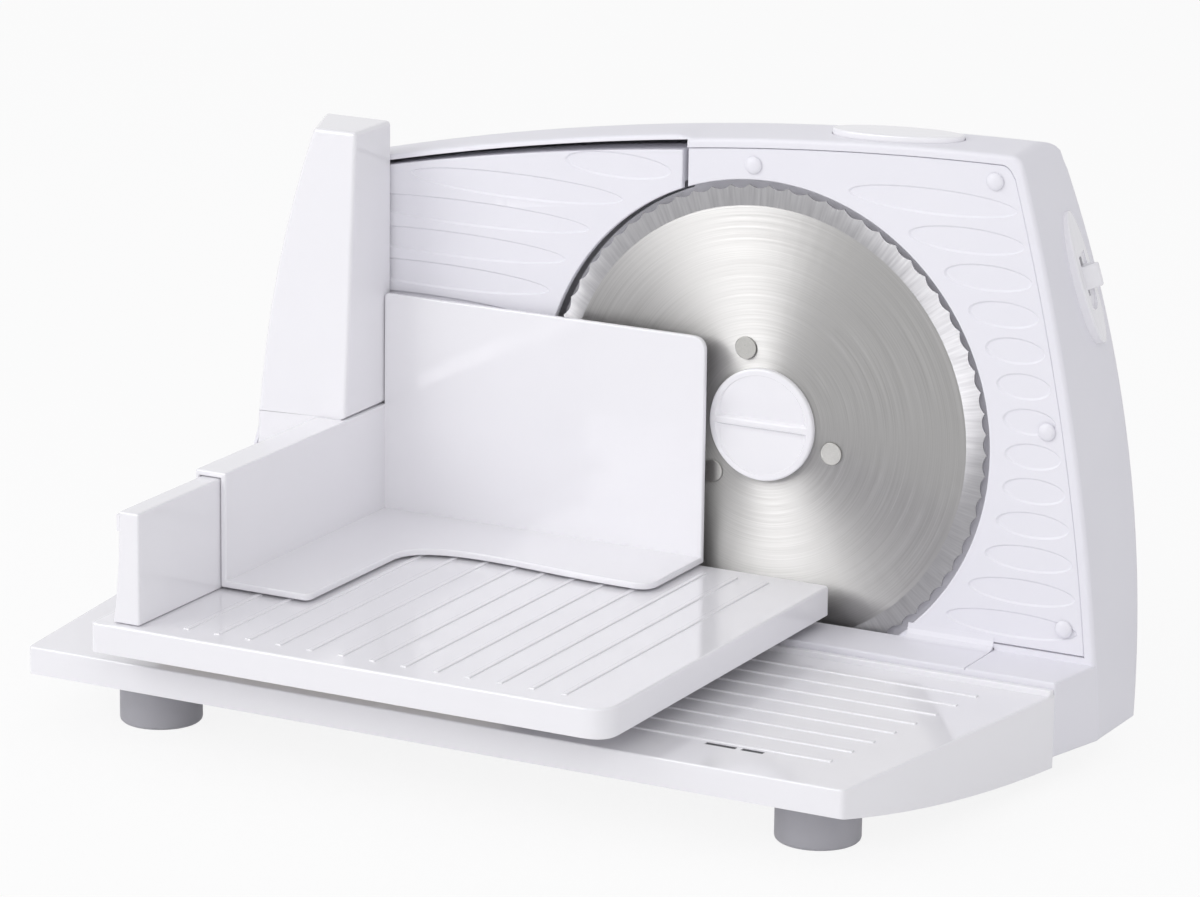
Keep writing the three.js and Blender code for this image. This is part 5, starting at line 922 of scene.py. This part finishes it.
# The fence flares out to the left towards its foot and has a small lug that stops the pusher
FENCE_T = 8.8
FENCE_FLARE = 2.6
FENCE_CREASE_H = 9.0
FENCE_STRAIGHT_H = 25.0
LUG_PROUD = 1.4
LUG_FRONT = 0.9
LUG_BACK = 5.5
LUG_LOW = 8.0
LUG_TOP = 1.6
fence_low, fence_high = corners("side_fence")
fence_left = fence_high.x - FENCE_T
fence_line = [(fence_high.x, fence_low.z), (fence_high.x, fence_high.z), (fence_left, fence_high.z),
              (fence_left, fence_low.z + FENCE_STRAIGHT_H),
              (fence_left - FENCE_FLARE / 2, fence_low.z + FENCE_CREASE_H),
              (fence_left - FENCE_FLARE, fence_low.z)]
fence = prism([(x, fence_low.y, z) for x, z in fence_line], (0, fence_high.y - fence_low.y, 0))
lug = brick((fence_left - LUG_PROUD, fence_low.y + LUG_FRONT, fence_high.z - LUG_LOW),
            (fence_left + 1, fence_low.y + LUG_BACK, fence_high.z - LUG_TOP))
fence = round_edges(combine(fence, lug, "UNION"), FENCE_ROUND,
                    lambda middle, edge: middle.x > fence_left - 0.1)
place(fence, "fence", white_abs, "carriage_set", "white_plastic", "side_fence")
guard_low, guard_high = corners("finger_guard")
guard = round_edges(copy_of("finger_guard"), GUARD_ROUND, lambda middle, edge: edge.calc_length() > 4
                    and middle.z > guard_low.z + 1 and middle.y < guard_high.y - 3)
place(guard, "guard", white_abs, "carriage_set", "white_plastic", "finger_guard")

# Pusher
# The remainder holder: an ABS channel on the fence with a wall, a plate along the blade and
# a floor with a hollow for the thumb, all in one moulding.
PUSHER_ROUND = 0.7
PUSHER_FLOOR_T = 1.8
PUSHER_FLOOR_RISE = 0.9
pusher = copy_of("pusher")
floor_z = corners("pusher")[0].z + PUSHER_FLOOR_T
bmesh.ops.translate(pusher, verts=[vert for vert in pusher.verts if abs(vert.co.z - floor_z) < 0.05],
                    vec=(0, 0, PUSHER_FLOOR_RISE))
round_edges(pusher, PUSHER_ROUND)
place(pusher, "remainder_pusher", white_abs, "pusher_set", "white_plastic", "pusher")

# Power button and side switch
# The oval start pad on the top and the oval switch pad on the right side, both glossy ABS.
# A nub slides in the switch pad.
BUTTON_T = 9.0
BUTTON_LEAN = 0.04
BUTTON_SINK = 1.15
BUTTON_ROUND = 0.8
STEM_R = 3.0
button_top = button_high.z - BUTTON_SINK
button = turned([(0, -BUTTON_T), (1, -BUTTON_T), (1, 0), (0, 0)], (0, 0, 0), (0, 0, 1), 96)
button.transform(Matrix(((button_half.x, 0, 0, button_mid.x), (0, button_half.y, 0, button_mid.y),
                         (button_half.x * BUTTON_LEAN, 0, 1, button_top), (0, 0, 0, 1))))
stem_top = button_top - BUTTON_T / 2
round_edges(button, BUTTON_ROUND, lambda middle, edge: middle.z > stem_top)
stem = turned([(0, button_low.z), (STEM_R, button_low.z), (STEM_R, stem_top), (0, stem_top)],
              (button_mid.x, button_mid.y, 0), (0, 0, 1), 32)
button = combine(button, stem, "UNION")
place(button, "start_pad", white_abs, "button", "white_plastic", "power_button")

# The switch pad lies on the leaning side: thick in front and below, flush at the back
PAD_HALF_W = 9.5
PAD_HALF_H = 27.0
PAD_T = 1.9
PAD_SLANT = 1.5
PAD_DROP = 0.8
PAD_BASE = -2.0
PAD_ROUND = 0.7
PAD_SPOT = Vector((120.3, 29.5, 67.5))
PAD_LEAN = radians(-13.67)
PAD_TURN = radians(8)
SLOT_FLOOR = 0.4
SLOT_HALF_W = 4.4
SLOT_LOW_Z = -13.0
SLOT_TOP_Z = 9.6
SLOT_ROUND = 3.6
NUB_HALF_W = 4.0
NUB_LOW_Z = -4.8
NUB_H = 9.4
NUB_PROUD = 6.4
NUB_CREST = (1.6, 3.6)
NUB_ROUND = 0.8
KEY_HALF_W = 1.5
KEY_HALF_H = 3.0
KEY_GAP = 0.3
SWITCH_TRAVEL = 4.0
TRAVEL_ROOM = 1.0
on_side = (Matrix.Translation(PAD_SPOT) @ Matrix.Rotation(PAD_LEAN, 4, "Y")
           @ Matrix.Rotation(PAD_TURN, 4, "X"))
switch_pad = turned([(0, -1), (1, -1), (1, 0), (0, 0)], (0, 0, 0), (1, 0, 0), 96)
underside = [vert for vert in switch_pad.verts if vert.co.x < -0.5]
switch_pad.transform(Matrix(((1, -PAD_SLANT, -PAD_DROP, PAD_T), (0, PAD_HALF_W, 0, 0), (0, 0, PAD_HALF_H, 0),
                             (0, 0, 0, 1))))
for vert in underside:
    vert.co.x = PAD_BASE
round_edges(switch_pad, PAD_ROUND, lambda middle, edge: middle.x > PAD_T - PAD_SLANT * middle.y / PAD_HALF_W
            - PAD_DROP * middle.z / PAD_HALF_H - 0.3)
slot = brick((SLOT_FLOOR, -SLOT_HALF_W, SLOT_LOW_Z), (9, SLOT_HALF_W, SLOT_TOP_Z))
round_edges(slot, SLOT_ROUND, lambda middle, edge: middle.z < 0 and abs(
    edge.verts[0].co.x - edge.verts[1].co.x) > 1, 6)
switch_pad = combine(switch_pad, slot)
key_half_w = KEY_HALF_W + KEY_GAP
key_reach = KEY_HALF_H + SWITCH_TRAVEL + TRAVEL_ROOM
switch_pad = combine(switch_pad, brick((-9, -key_half_w, -key_reach),
                                       (SLOT_FLOOR + 1, key_half_w, key_reach)))
switch_pad.transform(on_side)
place(switch_pad, "switch_pad", white_abs, "base", "white_plastic", "switch_plate")

nub_line = [(SLOT_FLOOR + 0.1, -NUB_HALF_W), (NUB_PROUD, NUB_CREST[0]), (NUB_PROUD, NUB_CREST[1]),
            (SLOT_FLOOR + 0.1, NUB_HALF_W)]
nub = prism([(x, y, NUB_LOW_Z) for x, y in nub_line], (0, 0, NUB_H))
round_edges(nub, NUB_ROUND, lambda middle, edge: middle.x > SLOT_FLOOR + 0.2)
nub = combine(nub, brick((-6, -KEY_HALF_W, -KEY_HALF_H), (SLOT_FLOOR + 1, KEY_HALF_W, KEY_HALF_H)), "UNION")
nub.transform(on_side)
place(nub, "switch_nub", white_abs, "slider", "white_plastic", "switch_slider")

# Studio
# A pale paper floor under soft lamps, with a large lamp up on the left; the camera stands where the
# photograph was taken from.
FLOOR_SIZE = 12.0
FLOOR_GLOW = 0.88
AMBIENT = 0.63
LAMP_AIM = Vector((0, 0, 0.1))
# Each lamp's name, place and width in metres, and watts; the fill adds no gloss, the strip only gloss
LAMPS = (("key", (-1.85, -1.68, 1.37), 2.4, 26.5), ("fill", (1.26, -2.1, 1.44), 2.0, 15),
         ("strip", (-1.62, -1.71, 1.55), 2.4, 52))


def seen_directly(tree):
    """1 for rays from the camera and for rays off glossy or clear surfaces, else 0."""
    path = node(tree, "ShaderNodeLightPath")
    direct = node(tree, "ShaderNodeMath", {"operation": "MAXIMUM"}, {
        0: path.outputs["Is Camera Ray"], 1: path.outputs["Is Glossy Ray"]})
    return node(tree, "ShaderNodeMath", {"operation": "MAXIMUM"}, {
        0: direct.outputs[0], 1: path.outputs["Is Transmission Ray"]}).outputs[0]


floor_white, tree, paper = new_finish("floor_white_paper")
paper.inputs["Base Color"].default_value = linear("#F4F4F4")
paper.inputs["Roughness"].default_value = 0.9
paper.inputs["Specular IOR Level"].default_value = 0.0
glow = node(tree, "ShaderNodeEmission", None, {"Color": (1, 1, 1, 1), "Strength": 1.0})
share = node(tree, "ShaderNodeMath", {"operation": "MULTIPLY"}, {0: seen_directly(tree), 1: FLOOR_GLOW})
blend = node(tree, "ShaderNodeMixShader", None, {
    0: share.outputs[0], 1: paper.outputs[0], 2: glow.outputs[0]})
tree.links.new(blend.outputs[0], tree.nodes["Material Output"].inputs["Surface"])
bm = bmesh.new()
bmesh.ops.create_grid(bm, x_segments=1, y_segments=1, size=FLOOR_SIZE / 2)
mesh = bpy.data.meshes.new("floor")
bm.to_mesh(mesh)
bm.free()
mesh.materials.append(floor_white)
floor = bpy.data.objects.new("floor", mesh)
bpy.context.scene.collection.objects.link(floor)

world = bpy.data.worlds.new("studio")
bpy.context.scene.world = world
world.use_nodes = True
tree = world.node_tree
ambient = tree.nodes["Background"]
ambient.inputs["Color"].default_value = linear("#FBFBFD")
ambient.inputs["Strength"].default_value = AMBIENT
backdrop = node(tree, "ShaderNodeBackground", None, {"Color": (1, 1, 1, 1), "Strength": 1.0})
blend = node(tree, "ShaderNodeMixShader", None, {
    0: seen_directly(tree), 1: ambient.outputs[0], 2: backdrop.outputs[0]})
tree.links.new(blend.outputs[0], tree.nodes["World Output"].inputs["Surface"])

for name, spot, size, power in LAMPS:
    light = bpy.data.lights.new(name, "AREA")
    light.shape = "DISK"
    light.size = size
    light.energy = power
    lamp = bpy.data.objects.new(name, light)
    lamp.location = spot
    lamp.rotation_euler = (LAMP_AIM - Vector(spot)).to_track_quat("-Z", "Y").to_euler()
    lamp.visible_glossy = name != "fill"
    lamp.visible_diffuse = name != "strip"
    bpy.context.scene.collection.objects.link(lamp)

CAMERA_SPOT = to_row @ Vector((947.78, -1933.84, 571.74))
CAMERA_YAW = radians(27.800)
CAMERA_PITCH = radians(15.142)
CAMERA_ROLL = radians(0.736)
CAMERA_LENS = 171.3
CAMERA_SENSOR_W = 36.0
sight = Vector((-sin(CAMERA_YAW) * cos(CAMERA_PITCH), cos(CAMERA_YAW) * cos(CAMERA_PITCH),
                -sin(CAMERA_PITCH)))
level = Vector((cos(CAMERA_YAW), sin(CAMERA_YAW), 0))
upright = level.cross(sight)
right = level * cos(CAMERA_ROLL) + upright * sin(CAMERA_ROLL)
up = upright * cos(CAMERA_ROLL) - level * sin(CAMERA_ROLL)
camera_data = bpy.data.cameras.new("camera")
camera_data.lens = CAMERA_LENS
camera_data.sensor_width = CAMERA_SENSOR_W
camera = bpy.data.objects.new("camera", camera_data)
camera.matrix_world = Matrix.Translation(CAMERA_SPOT) @ Matrix((right, up, -sight)).transposed().to_4x4()
bpy.context.scene.collection.objects.link(camera)
bpy.context.scene.camera = camera
bpy.context.scene.view_settings.view_transform = "Standard"
